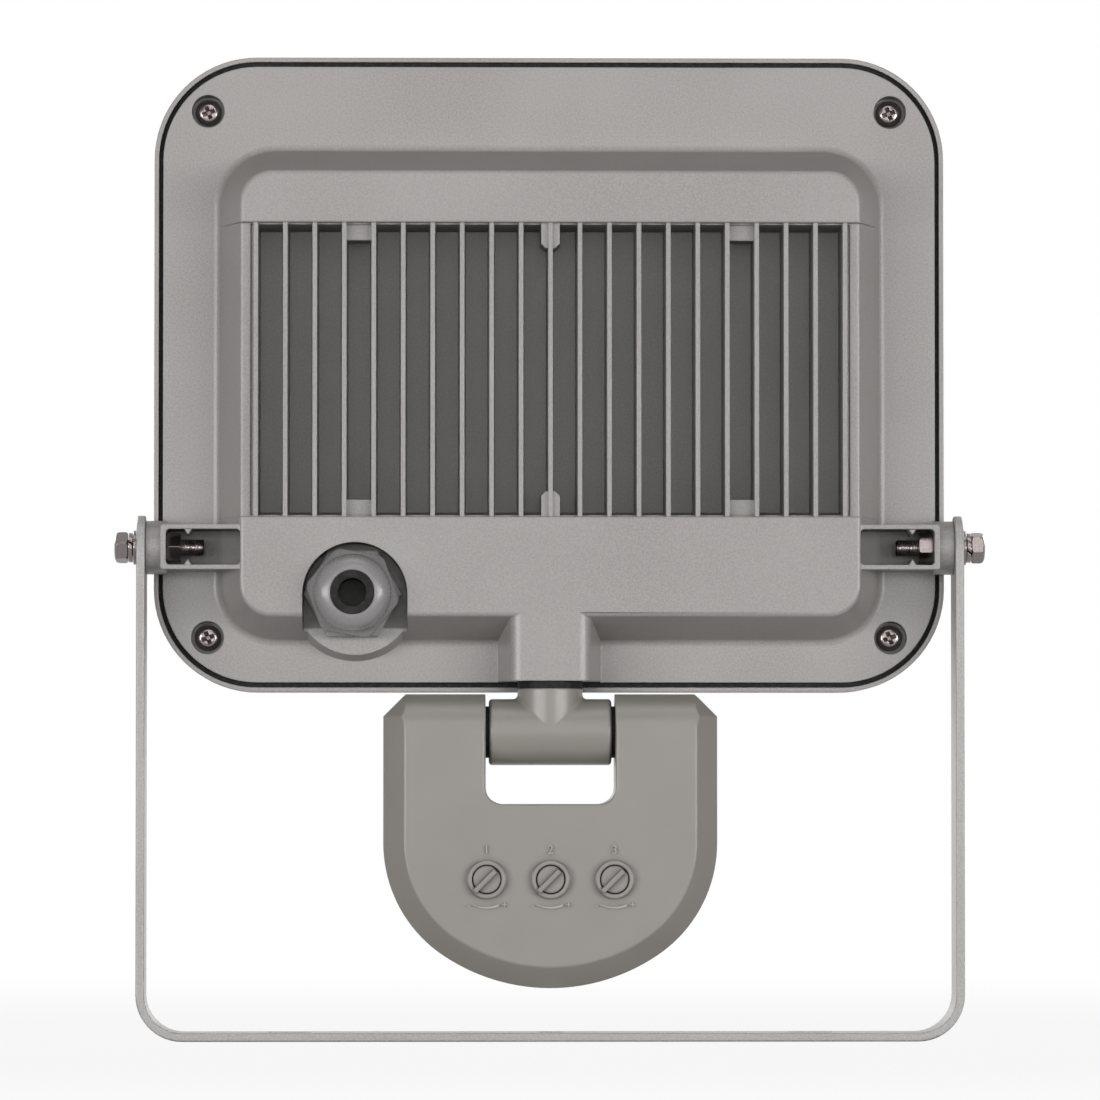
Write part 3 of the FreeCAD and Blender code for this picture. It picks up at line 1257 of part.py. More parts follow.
def dial_places():
    """The three dials from left to right."""
    return [d.dial_pitch * step for step in (-1, 0, 1)]


sensor_board_rear = -d.sensor_board_ahead
sensor_board_front = sensor_board_rear - d.board_thick
pot_top = sensor_board_rear + d.pot_high
hub_top = pot_top + d.pot_hub_high


def make_sensor_head():
    """Both shells, the tilt axle between them, the lens and the electronics."""
    rear, face = make_head_shell("sensor_rear_shell", 1, d.rear_bevel)
    bore = d.dial_dia + 2 * d.dial_gap
    collars = [circle(x, -d.dial_down, d.collar_dia) for x in dial_places()]
    pad(rear, "collars", FLAT, face - d.head_wall, face + d.collar_high, *collars)
    holes = [circle(x, -d.dial_down, bore) for x in dial_places()]
    pocket(rear, "dial_holes", FLAT, face + d.collar_high + PAST, face - d.head_wall - PAST, *holes)
    posts = []
    for across in (-1, 1):
        for up in (-1, 1):
            x, y = d.sensor_post_x * across, d.sensor_post_y * up - d.sensor_board_down
            posts.append(circle(x, y, d.sensor_post))
    pad(rear, "posts", FLAT, face - d.head_wall, sensor_board_rear, *posts)
    front, front_face = make_head_shell("sensor_front_shell", -1, d.front_bevel)
    pocket(front, "lens_opening", FLAT, 0, front_face - PAST, circle(0, -d.lens_down, d.lens_opening))

    axle = head_body("tilt_axle")
    grip = d.notch_half + d.axle_reach - d.axle_gap
    pad(axle, "tube", SIDE, -grip, grip, circle(0, 0, d.axle_dia), circle(0, 0, d.axle_bore))

    lens = head_body("lens", up=-d.lens_down)
    seat = front_face + d.head_wall
    thick = d.lens_thick
    foot = d.lens_opening / 2 - d.lens_gap
    ball = (foot * foot + d.lens_high * d.lens_high) / (2 * d.lens_high)
    centre = seat - d.lens_high + ball
    inner = ball - thick
    lift = seat + thick - centre
    inner_foot = root(inner * inner - lift * lift)
    rim = foot + d.lens_gap + d.lens_flange
    tip = seat - d.lens_high
    turned(lens, "cap", loop((rim, seat + thick), (inner_foot, seat + thick, -inner), (0, tip + thick),
                             (0, tip, ball), (foot, seat), (rim, seat)))

    board = head_body("sensor_board", up=-d.sensor_board_down)
    pad(board, "plate", FLAT, sensor_board_rear, sensor_board_front,
        middle_box(d.sensor_board_width, d.sensor_board_height))
    pyro = head_body("pyro_sensor", up=-d.lens_down)
    pad(pyro, "rim", FLAT, sensor_board_front, sensor_board_front - d.board_thick / 2,
        circle(0, 0, d.pyro_rim))
    pad(pyro, "can", FLAT, sensor_board_front, sensor_board_front - d.pyro_high, circle(0, 0, d.pyro_dia))
    cell = head_body("photocell", up=-d.lens_down - d.photocell_down)
    pad(cell, "disc", FLAT, sensor_board_front, sensor_board_front - d.photocell_high,
        circle(0, 0, d.photocell_dia))
    pots = head_body("potentiometers", up=-d.dial_down)
    cases = [middle_box(d.pot_size, d.pot_size, x) for x in dial_places()]
    pad(pots, "cases", FLAT, sensor_board_rear, pot_top, *cases)
    hubs = [circle(x, 0, d.pot_hub) for x in dial_places()]
    pad(pots, "hubs", FLAT, pot_top, hub_top, *hubs)


def make_dial(number, x):
    """A setting dial: stem, disc and a pointer bar that passes over the collar."""
    body = head_body(f"dial_{number}", x=x, up=-d.dial_down, turn=d.dial_rest.value)
    rim = d.head_top + d.collar_high
    top = rim - d.dial_sunk
    pad(body, "disc", FLAT, top - d.dial_thick, top, circle(0, 0, d.dial_dia))
    pad(body, "stem", FLAT, hub_top + d.stem_gap, top, circle(0, 0, d.dial_stem))
    half, short, over = d.bar_wide / 2, d.bar_short_end, rim + d.bar_clear
    pad(body, "bar_root", FLAT, top, over, box(-short, -half, short, half))
    pad(body, "bar", FLAT, over, over + d.bar_high, box(-short, -half, d.bar_long_end, half))


def build():
    """Make every sub-part."""
    make_bracket()
    for side, side_name in ((-1, "left"), (1, "right")):
        make_pivot_hardware(side, side_name)
    make_rear_housing()
    make_front_frame()
    make_seals_and_glass()
    make_screws()
    make_led_board()
    make_driver()
    make_gland()
    make_knuckle()
    make_sensor_head()
    for number, x in enumerate(dial_places(), start=1):
        make_dial(number, x)


def check_features():
    """Stop on anything that failed, and on a cut that takes nothing away."""
    cuts = ("PartDesign::Pocket", "PartDesign::Groove", "PartDesign::SubtractiveLoft")
    volumes = {}
    for item in doc.Objects:
        if "Invalid" in item.State or "Error" in item.State:
            raise RuntimeError(f"{item.Label} failed: {item.State}")
        if item.TypeId in cuts:
            for feature in (item, item.BaseFeature):
                if feature.Name not in volumes:
                    volumes[feature.Name] = feature.Shape.Volume
            if volumes[item.Name] > volumes[item.BaseFeature.Name] - SMALLEST_CUT:
                raise RuntimeError(f"{item.Label} cuts nothing")


def export():
    """Write each sub-part to its own STEP file."""
    os.makedirs("parts", exist_ok=True)
    bodies = [item for item in doc.Objects if item.TypeId == "PartDesign::Body"]
    for body in bodies:
        if body.Shape.isNull() or not body.Shape.isValid():
            raise RuntimeError(f"{body.Label} has no valid shape")
    for body in bodies:
        body.Shape.exportStep(os.path.join("parts", f"{body.Label}.step"))
        print(body.Label, len(body.Shape.Solids), round(body.Shape.Volume, 1))


build()
doc.recompute()
check_features()
export()
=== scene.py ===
"""Dresses the floodlight with motion sensor: finishes, small parts and a plain studio.

The casting, bracket and sensor shells keep their CAD shapes and get their finishes here. Screws,
pivot bolts, the gland's nut, the LEDs, the lens and the marks on the sensor are made here.
"""
import json
import math

import bmesh
import bpy
from bpy.props import FloatProperty, FloatVectorProperty, IntProperty, PointerProperty
from mathutils import Matrix, Vector


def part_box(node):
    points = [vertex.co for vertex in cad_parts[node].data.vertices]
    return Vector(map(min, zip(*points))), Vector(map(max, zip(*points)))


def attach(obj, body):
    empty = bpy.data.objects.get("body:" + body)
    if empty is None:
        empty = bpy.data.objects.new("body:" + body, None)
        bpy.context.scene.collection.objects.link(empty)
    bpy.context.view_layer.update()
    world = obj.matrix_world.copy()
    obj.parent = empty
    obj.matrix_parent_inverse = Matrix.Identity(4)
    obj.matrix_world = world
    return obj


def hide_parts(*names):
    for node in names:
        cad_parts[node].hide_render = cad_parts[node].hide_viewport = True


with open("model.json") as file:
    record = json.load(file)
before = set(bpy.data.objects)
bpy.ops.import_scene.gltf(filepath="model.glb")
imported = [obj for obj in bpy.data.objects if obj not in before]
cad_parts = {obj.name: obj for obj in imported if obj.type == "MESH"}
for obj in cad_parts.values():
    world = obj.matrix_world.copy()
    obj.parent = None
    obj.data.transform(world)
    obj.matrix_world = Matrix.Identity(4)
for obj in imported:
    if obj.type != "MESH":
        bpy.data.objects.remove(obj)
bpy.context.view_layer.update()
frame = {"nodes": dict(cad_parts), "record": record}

bl_info = {
    "name": "Floodlight with motion sensor",
    "version": (1, 0, 0),
    "blender": (4, 5, 0),
    "location": "3D View > Sidebar > Floodlight",
    "description": "Finishes and small parts of a floodlight with a motion sensor",
    "category": "Object",
}

MM = 0.001
BODY_OF = {
    node: body
    for body, nodes in frame["record"]["behaviour"]["bodies"].items()
    for node in nodes
}
SAME_POINT = 0.000001
SMOOTH_BELOW = math.radians(32)
# Turns that carry a part made along Z to where it points.
OUT_OF_BACK = Matrix.Rotation(math.radians(90), 4, "X")
TO_RIGHT = Matrix.Rotation(math.radians(90), 4, "Y")
TO_LEFT = Matrix.Rotation(math.radians(-90), 4, "Y")
TO_FRONT = Matrix.Rotation(math.radians(-90), 4, "X")
# The corners of a square, in order.
SQUARE = ((-1, -1), (1, -1), (1, 1), (-1, 1))
# A noise texture's values lie mostly between these two.
NOISE_LOW, NOISE_HIGH = 0.3, 0.7
# Sockets of a Mix node for colours: what it starts from, what it goes to, and the mixture.
MIX_FROM, MIX_TO, MIXED = 6, 7, 2


def linear(code):
    """A linear colour from an sRGB hex value."""
    shares = [int(code[place:place + 2], 16) / 255 for place in (0, 2, 4)]
    return [v / 12.92 if v <= 0.04045 else ((v + 0.055) / 1.055) ** 2.4 for v in shares] + [1.0]


def add_node(tree, kind, inputs=None, **settings):
    """Add a node, set its properties and sockets, and link the inputs that are sockets."""
    node = tree.nodes.new(kind)
    for name, value in settings.items():
        setattr(node, name, value)
    for name, value in (inputs or {}).items():
        socket = node.inputs[name]
        if isinstance(value, bpy.types.NodeSocket):
            tree.links.new(value, socket)
        else:
            socket.default_value = value
    return node


def colour_property(name, description, code):
    """A colour that a user would change."""
    return FloatVectorProperty(name=name, description=description, subtype="COLOR", size=4,
                               min=0, max=1, default=linear(code))


def length_property(name, description, millimetres):
    """A length that a user would change."""
    return FloatProperty(name=name, description=description, subtype="DISTANCE", unit="LENGTH",
                         min=0, default=millimetres * MM)


BLACK, WHITE = linear("000000"), linear("FFFFFF")


class FloodlightFinishes(bpy.types.PropertyGroup):
    """Colours of the finishes."""

    coat: colour_property("Powder coat", "Silver-grey coat of casting and frame", "9B9795")
    strap_coat: colour_property("Strap coat", "The same powder from a paler batch", "ADABA9")
    fleck: FloatProperty(name="Fleck", description="How much darker the coat's specks are",
                         subtype="FACTOR", min=0, max=1, default=0.24)
    abs: colour_property("Sensor ABS", "Moulded shells, joint and dials", "8F8B85")
    # Paler than the ABS: a painted highlight on the raised marks.
    marks: colour_property("Dial marks", "Raised marks, rubbed a little paler", "A9A59F")
    polyamide: colour_property("Gland polyamide", "Moulded cable gland", "8A8888")
    rubber: colour_property("Rubber", "Seals, gasket and friction washers", "0E0D0D")
    stainless: colour_property("Stainless steel", "Screws, bolts, nuts and washers", "7B7473")
    reflector: colour_property("Reflector", "Matt white polycarbonate", "EDEDEA")
    mask: colour_property("Solder mask", "White mask of the LED board", "E9E9E4")
    phosphor: colour_property("Phosphor", "Yellow gel over each chip", "E7C24A")
    lens: colour_property("Sensor lens", "Milky polyethylene", "E6E5E0")
    board: colour_property("Circuit board", "Green solder mask", "2C5A3A")


class FloodlightSizes(bpy.types.PropertyGroup):
    """Sizes of the small parts and of the textures."""

    coat_edge: length_property("Coat edge", "Rounding that the coat gives an edge", 0.5)
    mould_edge: length_property("Moulded edge", "Rounding of a moulded edge", 0.8)
    # Real flecks and mould grain are too fine to show, so both are drawn as coarse as they need.
    coat_grain: length_property("Coat grain", "Size of the coat's pebbles and flecks", 0.55)
    mould_grain: length_property("Mould grain", "Spark-eroded grain of the mouldings", 0.4)
    screw_dome: length_property("Screw dome", "Height of a pan head's dome", 1.4)
    recess: length_property("Cross recess", "Length of a screw's cross recess", 4.3)
    thread_pitch: length_property("Thread pitch", "Pitch of the pivot bolts", 0.8)
    mark_height: length_property("Mark height", "Height of the numbers over the dials", 2.5)
    mark_relief: length_property("Mark relief", "How far the marks stand out", 0.18)
    facet_rise: length_property("Facet rise", "Bulge of one facet of the lens", 0.22)
    led_columns: IntProperty(name="LED columns", description="Along the board", default=12, min=1)
    led_rows: IntProperty(name="LED rows", description="Up the board", default=8, min=1)


class FloodlightStage(bpy.types.PropertyGroup):
    """Camera and lamps."""

    distance: FloatProperty(name="Distance", description="Camera behind the pivot axis",
                            unit="LENGTH", default=2.133)
    across: FloatProperty(name="Across", description="Camera from the middle, sideways",
                          unit="LENGTH", default=-0.040)
    height: FloatProperty(name="Height", description="Camera above the floor", unit="LENGTH",
                          default=0.070)
    aim_across: FloatProperty(name="Aim across", description="Middle of the picture, sideways",
                              unit="LENGTH", default=0.0)
    aim_height: FloatProperty(name="Aim height", description="Middle of the picture, upwards",
                              unit="LENGTH", default=0.1426)
    lens: FloatProperty(name="Lens", description="Focal length", unit="CAMERA", default=240.0)
    side_light: FloatProperty(name="Side light", description="Power of each soft side lamp",
                              unit="POWER", default=26.0)
    fill_light: FloatProperty(name="Fill light", description="Power of the soft lamp at the camera",
                              unit="POWER", default=3.6)
    front_light: FloatProperty(name="Front light", description="Power of each lamp in front",
                               unit="POWER", default=26.0)
    card_light: FloatProperty(name="Card light", description="Power of each card for gloss",
                              unit="POWER", default=5.0)
    room: FloatProperty(name="Room", description="Brightness of the room behind the camera",
                        default=0.4, min=0, max=1)
    ambient: FloatProperty(name="Ambient", description="Strength of the room's own light",
                           default=0.06, min=0)


def toned(colour, towards, share):
    """A linear colour part of the way to another."""
    return [first + (last - first) * share for first, last in zip(colour, towards)]


def start_material(name, sockets):
    """A material with a Principled shader, its fixed values set on the shader's own sockets.

    It comes with its tree, its shader and the Object coordinates that its patterns lie on.
    """
    material = bpy.data.materials.new(name)
    material.use_nodes = True
    tree = material.node_tree
    tree.nodes.clear()
    shader = add_node(tree, "ShaderNodeBsdfPrincipled", sockets)
    add_node(tree, "ShaderNodeOutputMaterial", {"Surface": shader.outputs["BSDF"]})
    place = add_node(tree, "ShaderNodeTexCoord").outputs["Object"]
    return material, tree, shader, place


def uneven_gloss(tree, shader, pattern, roughness, spread):
    """Let the roughness wander by a spread, as a pattern says."""
    rough = add_node(tree, "ShaderNodeMapRange", {
        "Value": pattern, "From Min": NOISE_LOW, "From Max": NOISE_HIGH,
        "To Min": roughness - spread, "To Max": roughness + spread,
    })
    tree.links.new(rough.outputs["Result"], shader.inputs["Roughness"])


def mottled(tree, pattern, colour, towards, most, low=NOISE_LOW, high=NOISE_HIGH):
    """A colour that a pattern carries part of the way to another."""
    share = add_node(tree, "ShaderNodeMapRange", {
        "Value": pattern, "From Min": low, "From Max": high, "To Min": 0.0, "To Max": most,
    })
    return add_node(tree, "ShaderNodeMix", {
        "Factor": share.outputs["Result"], MIX_FROM: colour, MIX_TO: towards,
    }, data_type="RGBA").outputs[MIXED]


def crevice_share(tree, reach, closed, open_air, most):
    """How far down in a crevice a place is: nothing in the open, and most where it is closed in."""
    around = add_node(tree, "ShaderNodeAmbientOcclusion", {"Distance": reach}, samples=8)
    return add_node(tree, "ShaderNodeMapRange", {
        "Value": around.outputs["AO"], "From Min": closed, "From Max": open_air,
        "To Min": most, "To Max": 0.0,
    }).outputs["Result"]


def relief(tree, shader, height, depth, edge):
    """Bump of a real depth in metres, over edges rounded by a real radius."""
    rounded = add_node(tree, "ShaderNodeBevel", {"Radius": edge}, samples=6).outputs["Normal"]
    bump = add_node(tree, "ShaderNodeBump",
                    {"Height": height, "Distance": depth, "Strength": 1.0, "Normal": rounded})
    tree.links.new(bump.outputs["Normal"], shader.inputs["Normal"])


def share_within(tree, steps):
    """The product of several steps: a value, the range where it changes, and what it changes."""
    share = 1.0
    for value, start, stop, before, after in steps:
        step = add_node(tree, "ShaderNodeMapRange", {
            "Value": value, "From Min": start, "From Max": stop, "To Min": before, "To Max": after,
        })
        share = add_node(tree, "ShaderNodeMath", {0: share, 1: step.outputs["Result"]},
                         operation="MULTIPLY").outputs[0]
    return share


def thin_coat_share(tree, place):
    """Where shade is painted into the coat: down beside the pivot nuts and round the gland's nut.

    The painted shade is a little lighter beside the dome. The front frame wears the same coat, so
    both places end where the casting does.
    """
    parts = add_node(tree, "ShaderNodeSeparateXYZ", {"Vector": place}).outputs

    def away(axis, middle):
        """How far a place is from a middle along one axis."""
        apart = add_node(tree, "ShaderNodeMath", {0: parts[axis], 1: middle}, operation="SUBTRACT")
        far = add_node(tree, "ShaderNodeMath", {0: apart.outputs[0]}, operation="ABSOLUTE")
        return far.outputs[0]

    casting_end, frame_start = 7.5 * MM, 8.0 * MM
    in_casting = (parts["Y"], casting_end, frame_start, 1.0, 0.0)

    pocket_mouth, pocket_floor = -4.0 * MM, 4.0 * MM
    pocket_inside, pocket_outside = 5.4 * MM, 5.8 * MM
    dome_foot, nut_room = 95.2 * MM, 96.8 * MM
    end_inside, end_outside = 111.6 * MM, 111.9 * MM
    # How much painted shade the pocket floors get: less beside the dome, more by the nuts.
    shade_by_dome, shade_by_nut = 0.68, 0.93
    pockets = share_within(tree, (
        in_casting,
        (parts["Y"], pocket_mouth, pocket_floor, 0.0, 1.0),
        (away("Z", centre_of("pivot_nut_left").z), pocket_inside, pocket_outside, 1.0, 0.0),
        (away("X", 0.0), dome_foot, nut_room, shade_by_dome, shade_by_nut),
        (away("X", 0.0), end_inside, end_outside, 1.0, 0.0),
    ))

    back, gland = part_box("rear_housing")[0].y, centre_of("gland_nut")
    recess_mouth, recess_floor = back + 0.6 * MM, back + 6.0 * MM
    recess_middle, recess_inside, recess_outside = gland.x + 0.7 * MM, 15.0 * MM, 15.3 * MM
    sill_under, sill_over = gland.z - 10.3 * MM, gland.z - 9.7 * MM
    arch_under, arch_over = gland.z + 14.6 * MM, gland.z + 15.0 * MM
    # How much painted shade the gland's recess gets.
    shade_in_recess = 0.85
    recess = share_within(tree, (
        in_casting,
        (parts["Y"], recess_mouth, recess_floor, 0.0, shade_in_recess),
        (away("X", recess_middle), recess_inside, recess_outside, 1.0, 0.0),
        (parts["Z"], sill_under, sill_over, 0.0, 1.0),
        (parts["Z"], arch_under, arch_over, 1.0, 0.0),
    ))
    return add_node(tree, "ShaderNodeMath", {0: pockets, 1: recess}, operation="MAXIMUM").outputs[0]


def silver_powder_coat(name, colour):
    """Polyester powder coat with aluminium flake, sprayed and baked.

    It gives a soft metallic grey with fine specks and a slightly pebbled film, with painted shade
    that darkens deep crevices, the pockets beside the pivot nuts and the gland's recess.
    """
    finish, size = bpy.context.scene.floodlight_finishes, bpy.context.scene.floodlight_sizes
    roughness, paleness, cloud_size = 0.36, 0.12, size.coat_grain * 60
    material, tree, shader, place = start_material(
        name, {"Base Color": colour, "Roughness": roughness, "Specular IOR Level": 0.6})
    grain = add_node(tree, "ShaderNodeTexNoise", {
        "Vector": place, "Scale": 1 / size.coat_grain, "Detail": 3.0}).outputs["Fac"]
    cloud = add_node(tree, "ShaderNodeTexNoise", {
        "Vector": place, "Scale": 1 / cloud_size, "Detail": 1.0}).outputs["Fac"]
    fleck, pale = toned(colour, BLACK, finish.fleck), toned(colour, WHITE, paleness)
    specked = mottled(tree, grain, fleck, colour, most=1.0, low=0.35, high=0.65)
    clouded = mottled(tree, cloud, specked, pale, most=0.25)
    # Painted shade: deep crevices, the nut pockets and the gland's recess go towards a dark
    # brown-grey.
    deep_crevice_shade = crevice_share(tree, reach=15 * MM, closed=0.05, open_air=0.5, most=0.7)
    thin = add_node(tree, "ShaderNodeMath", {0: deep_crevice_shade, 1: thin_coat_share(tree, place)},
                    operation="MAXIMUM")
    coat = add_node(tree, "ShaderNodeMix", {
        "Factor": thin.outputs[0], MIX_FROM: clouded, MIX_TO: linear("30281F"),
    }, data_type="RGBA").outputs[MIXED]
    tree.links.new(coat, shader.inputs["Base Color"])
    uneven_gloss(tree, shader, grain, roughness, spread=0.06)
    relief(tree, shader, grain, depth=0.02 * MM, edge=size.coat_edge)
    return material


def moulded(name, colour, roughness, grain_depth, edge, crevice_darkness=0.55):
    """A moulded plastic with the fine matt grain of a spark-eroded mould and painted shade in
    crevices.
    """
    grain_size = bpy.context.scene.floodlight_sizes.mould_grain
    cloud_size = grain_size * 40
    material, tree, shader, place = start_material(
        name, {"Base Color": colour, "Roughness": roughness})
    grain = add_node(tree, "ShaderNodeTexNoise", {
        "Vector": place, "Scale": 1 / grain_size, "Detail": 3.0}).outputs["Fac"]
    cloud = add_node(tree, "ShaderNodeTexNoise", {
        "Vector": place, "Scale": 1 / cloud_size, "Detail": 1.0}).outputs["Fac"]
    shade = mottled(tree, cloud, colour, BLACK, most=0.05)
    # Painted shade: corners and crevices go darker, towards a dark brown-grey.
    crevice_shade = crevice_share(tree, reach=2.5 * MM, closed=0.35, open_air=0.95, most=crevice_darkness)
    crevice_shaded = add_node(tree, "ShaderNodeMix", {
        "Factor": crevice_shade, MIX_FROM: shade, MIX_TO: linear("1E1C1A"),
    }, data_type="RGBA").outputs[MIXED]
    tree.links.new(crevice_shaded, shader.inputs["Base Color"])
    uneven_gloss(tree, shader, grain, roughness, spread=0.05)
    relief(tree, shader, grain, grain_depth, edge)
    return material


def stainless_steel():
    """A2 stainless steel, cold formed: bright, with drawing marks and painted shade in crevices.

    The marks are drawn as coarse as they need to show.
    """
    colour = bpy.context.scene.floodlight_finishes.stainless
    roughness, mark_size, dull_metal = 0.17, 0.5 * MM, 0.4
    material, tree, shader, place = start_material(
        "bright_stainless", {"Base Color": colour, "Roughness": roughness, "Metallic": 1.0})
    marks = add_node(tree, "ShaderNodeTexNoise", {
        "Vector": place, "Scale": 1 / mark_size, "Detail": 4.0}).outputs["Fac"]
    # Painted shade: closed-in places go darker and turn partly matt.
    dull = crevice_share(tree, reach=2.5 * MM, closed=0.3, open_air=0.85, most=1.0)
    crevice_shaded = add_node(tree, "ShaderNodeMix", {
        "Factor": dull, MIX_FROM: colour, MIX_TO: linear("6E6662"),
    }, data_type="RGBA").outputs[MIXED]
    tree.links.new(crevice_shaded, shader.inputs["Base Color"])
    metal = add_node(tree, "ShaderNodeMapRange",
                     {"Value": dull, "To Min": 1.0, "To Max": dull_metal})
    tree.links.new(metal.outputs["Result"], shader.inputs["Metallic"])
    uneven_gloss(tree, shader, marks, roughness, spread=0.07)
    relief(tree, shader, marks, depth=0.01 * MM, edge=0.3 * MM)
    return material


def epdm_rubber():
    """Moulded EPDM rubber: near black and dull, with a faint bloom."""
    colour, bloom_size = bpy.context.scene.floodlight_finishes.rubber, 1.5 * MM
    material, tree, shader, place = start_material(
        "epdm_rubber", {"Base Color": colour, "Roughness": 0.6, "Specular IOR Level": 0.2})
    bloom = add_node(tree, "ShaderNodeTexNoise",
                     {"Vector": place, "Scale": 1 / bloom_size}).outputs["Fac"]
    shade = mottled(tree, bloom, colour, WHITE, most=0.02, low=0.4, high=0.8)
    tree.links.new(shade, shader.inputs["Base Color"])
    relief(tree, shader, bloom, depth=0.02 * MM, edge=0.2 * MM)
    return material


def toughened_glass():
    """Clear float glass with polished edges: see-through, with a faint green body and smears."""
    roughness, smear_size = 0.02, 20 * MM
    material, tree, shader, place = start_material("toughened_glass", {
        "Base Color": linear("FAFCFB"), "Roughness": roughness, "IOR": 1.52,
        "Transmission Weight": 1.0,
    })
    smear = add_node(tree, "ShaderNodeTexNoise",
                     {"Vector": place, "Scale": 1 / smear_size, "Detail": 1.0}).outputs["Fac"]
    uneven_gloss(tree, shader, smear, roughness, spread=0.02)
    return material


def fine_grained(name, colour, roughness, grain, depth, **sockets):
    """A plain small part with the grain that its making leaves, drawn coarse enough to show."""
    material, tree, shader, place = start_material(
        name, {"Base Color": colour, "Roughness": roughness, **sockets})
    pattern = add_node(tree, "ShaderNodeTexNoise",
                       {"Vector": place, "Scale": 1 / grain}).outputs["Fac"]
    tree.links.new(mottled(tree, pattern, colour, BLACK, most=0.08), shader.inputs["Base Color"])
    relief(tree, shader, pattern, depth, edge=0.15 * MM)
    return material


def circuit_board():
    """FR-4 laminate under green solder mask, with paler tracks round rows of parts."""
    colour, track_field = bpy.context.scene.floodlight_finishes.board, 8 * MM
    material, tree, shader, place = start_material(
        "green_solder_mask", {"Base Color": colour, "Roughness": 0.3})
    tracks = add_node(tree, "ShaderNodeTexBrick", {
        "Vector": place, "Color1": colour, "Color2": linear("346B45"),
        "Mortar": linear("5A8F63"), "Scale": 1 / track_field, "Mortar Size": 0.02,
    }).outputs["Color"]
    tree.links.new(tracks, shader.inputs["Base Color"])
    return material


def paint(material, *names):
    """Give CAD nodes a finish in place of the plain one that they came with."""
    for name in names:
        for place in frame["nodes"][name].material_slots:
            place.material = material


def finish_mesh(mesh):
    """Round shading up to the angle of a real edge."""
    mesh.shade_smooth()
    mesh.set_sharp_from_angle(angle=SMOOTH_BELOW)
    return mesh


def add_piece(name, mesh, material, node, replace=True):
    """Add a mesh that rides with a CAD node's body and, unless told not to, stands for it."""
    if not mesh.materials:
        mesh.materials.append(material)
    piece = bpy.data.objects.new(name, finish_mesh(mesh))
    bpy.context.scene.collection.objects.link(piece)
    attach(piece, BODY_OF[node])
    if replace:
        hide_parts(node)


def as_mesh(name, shape):
    """A closed bmesh as a mesh, its faces turned outwards."""
    bmesh.ops.recalc_face_normals(shape, faces=shape.faces)
    mesh = bpy.data.meshes.new(name)
    shape.to_mesh(mesh)
    shape.free()
    return mesh


def turned(name, outline, count=72, closed=False):
    """A mesh turned round the Z axis.

    The outline gives (radius, level) pairs for an angle. A closed outline makes a ring.
    """
    shape = bmesh.new()
    rings = []
    for step in range(count):
        angle = math.tau * step / count
        rings.append([
            shape.verts.new((radius * math.cos(angle), radius * math.sin(angle), level))
            for radius, level in outline(angle)
        ])
    for ring, after in zip(rings, rings[1:] + rings[:1]):
        for here in range(len(ring) if closed else len(ring) - 1):
            there = (here + 1) % len(ring)
            shape.faces.new((ring[here], after[here], after[there], ring[there]))
    bmesh.ops.remove_doubles(shape, verts=shape.verts, dist=SAME_POINT)
    return as_mesh(name, shape)


def hexagon_radius(flats, angle):
    """How far a hexagon's side is from its middle at an angle."""
    return flats / 2 / math.cos(angle % math.radians(60) - math.radians(30))


def joined(name, meshes):
    """Several meshes as one."""
    shape = bmesh.new()
    for mesh in meshes:
        shape.from_mesh(mesh)
    whole = bpy.data.meshes.new(name)
    shape.to_mesh(whole)
    shape.free()
    return whole


def centre_of(node):
    """The middle of a CAD node's box."""
    low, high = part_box(node)
    return (low + high) / 2


def new_tree(name, inputs):
    """A geometry tree with named inputs, and the sockets where they enter."""
    tree = bpy.data.node_groups.new(name, "GeometryNodeTree")
    for label, kind in inputs:
        tree.interface.new_socket(label, in_out="INPUT", socket_type=f"NodeSocket{kind}")
    tree.interface.new_socket("Geometry", in_out="OUTPUT", socket_type="NodeSocketGeometry")
    return tree, add_node(tree, "NodeGroupInput").outputs


def end_tree(tree, geometry, material):
    """Turn instances into real faces, give them their material and leave the tree."""
    solid = add_node(tree, "GeometryNodeRealizeInstances", {"Geometry": geometry})
    painted = add_node(tree, "GeometryNodeSetMaterial",
                       {"Geometry": solid.outputs[0], "Material": material})
    add_node(tree, "NodeGroupOutput", {"Geometry": painted.outputs[0]})


def grow(name, tree, values):
    """Run a geometry tree with its inputs set, and return the result as a plain mesh."""
    carrier = bpy.data.objects.new(name, bpy.data.meshes.new(name))
    bpy.context.scene.collection.objects.link(carrier)
    modifier = carrier.modifiers.new("grow", "NODES")
    modifier.node_group = tree
    for item in tree.interface.items_tree:
        if item.in_out == "INPUT":
            modifier[item.identifier] = values[item.name]
    depsgraph = bpy.context.evaluated_depsgraph_get()
    mesh = bpy.data.meshes.new_from_object(carrier.evaluated_get(depsgraph), depsgraph=depsgraph)
    carrier.modifiers.remove(modifier)
    bpy.data.objects.remove(carrier)
    mesh.materials.clear()
    mesh.materials.append(values["Material"])
    return mesh


def grid_tree():
    """A part repeated on a grid that lies in the XY plane."""
    tree, enter = new_tree("part_on_grid", [
        ("Part", "Object"), ("Columns", "Int"), ("Rows", "Int"), ("Width", "Float"),
        ("Height", "Float"), ("Material", "Material"),
    ])
    grid = add_node(tree, "GeometryNodeMeshGrid", {
        "Size X": enter["Width"], "Size Y": enter["Height"], "Vertices X": enter["Columns"],
        "Vertices Y": enter["Rows"],
    })
    part = add_node(tree, "GeometryNodeObjectInfo", {"Object": enter["Part"]})
    copies = add_node(tree, "GeometryNodeInstanceOnPoints",
                      {"Points": grid.outputs["Mesh"], "Instance": part.outputs["Geometry"]})
    end_tree(tree, copies.outputs["Instances"], enter["Material"])
    return tree


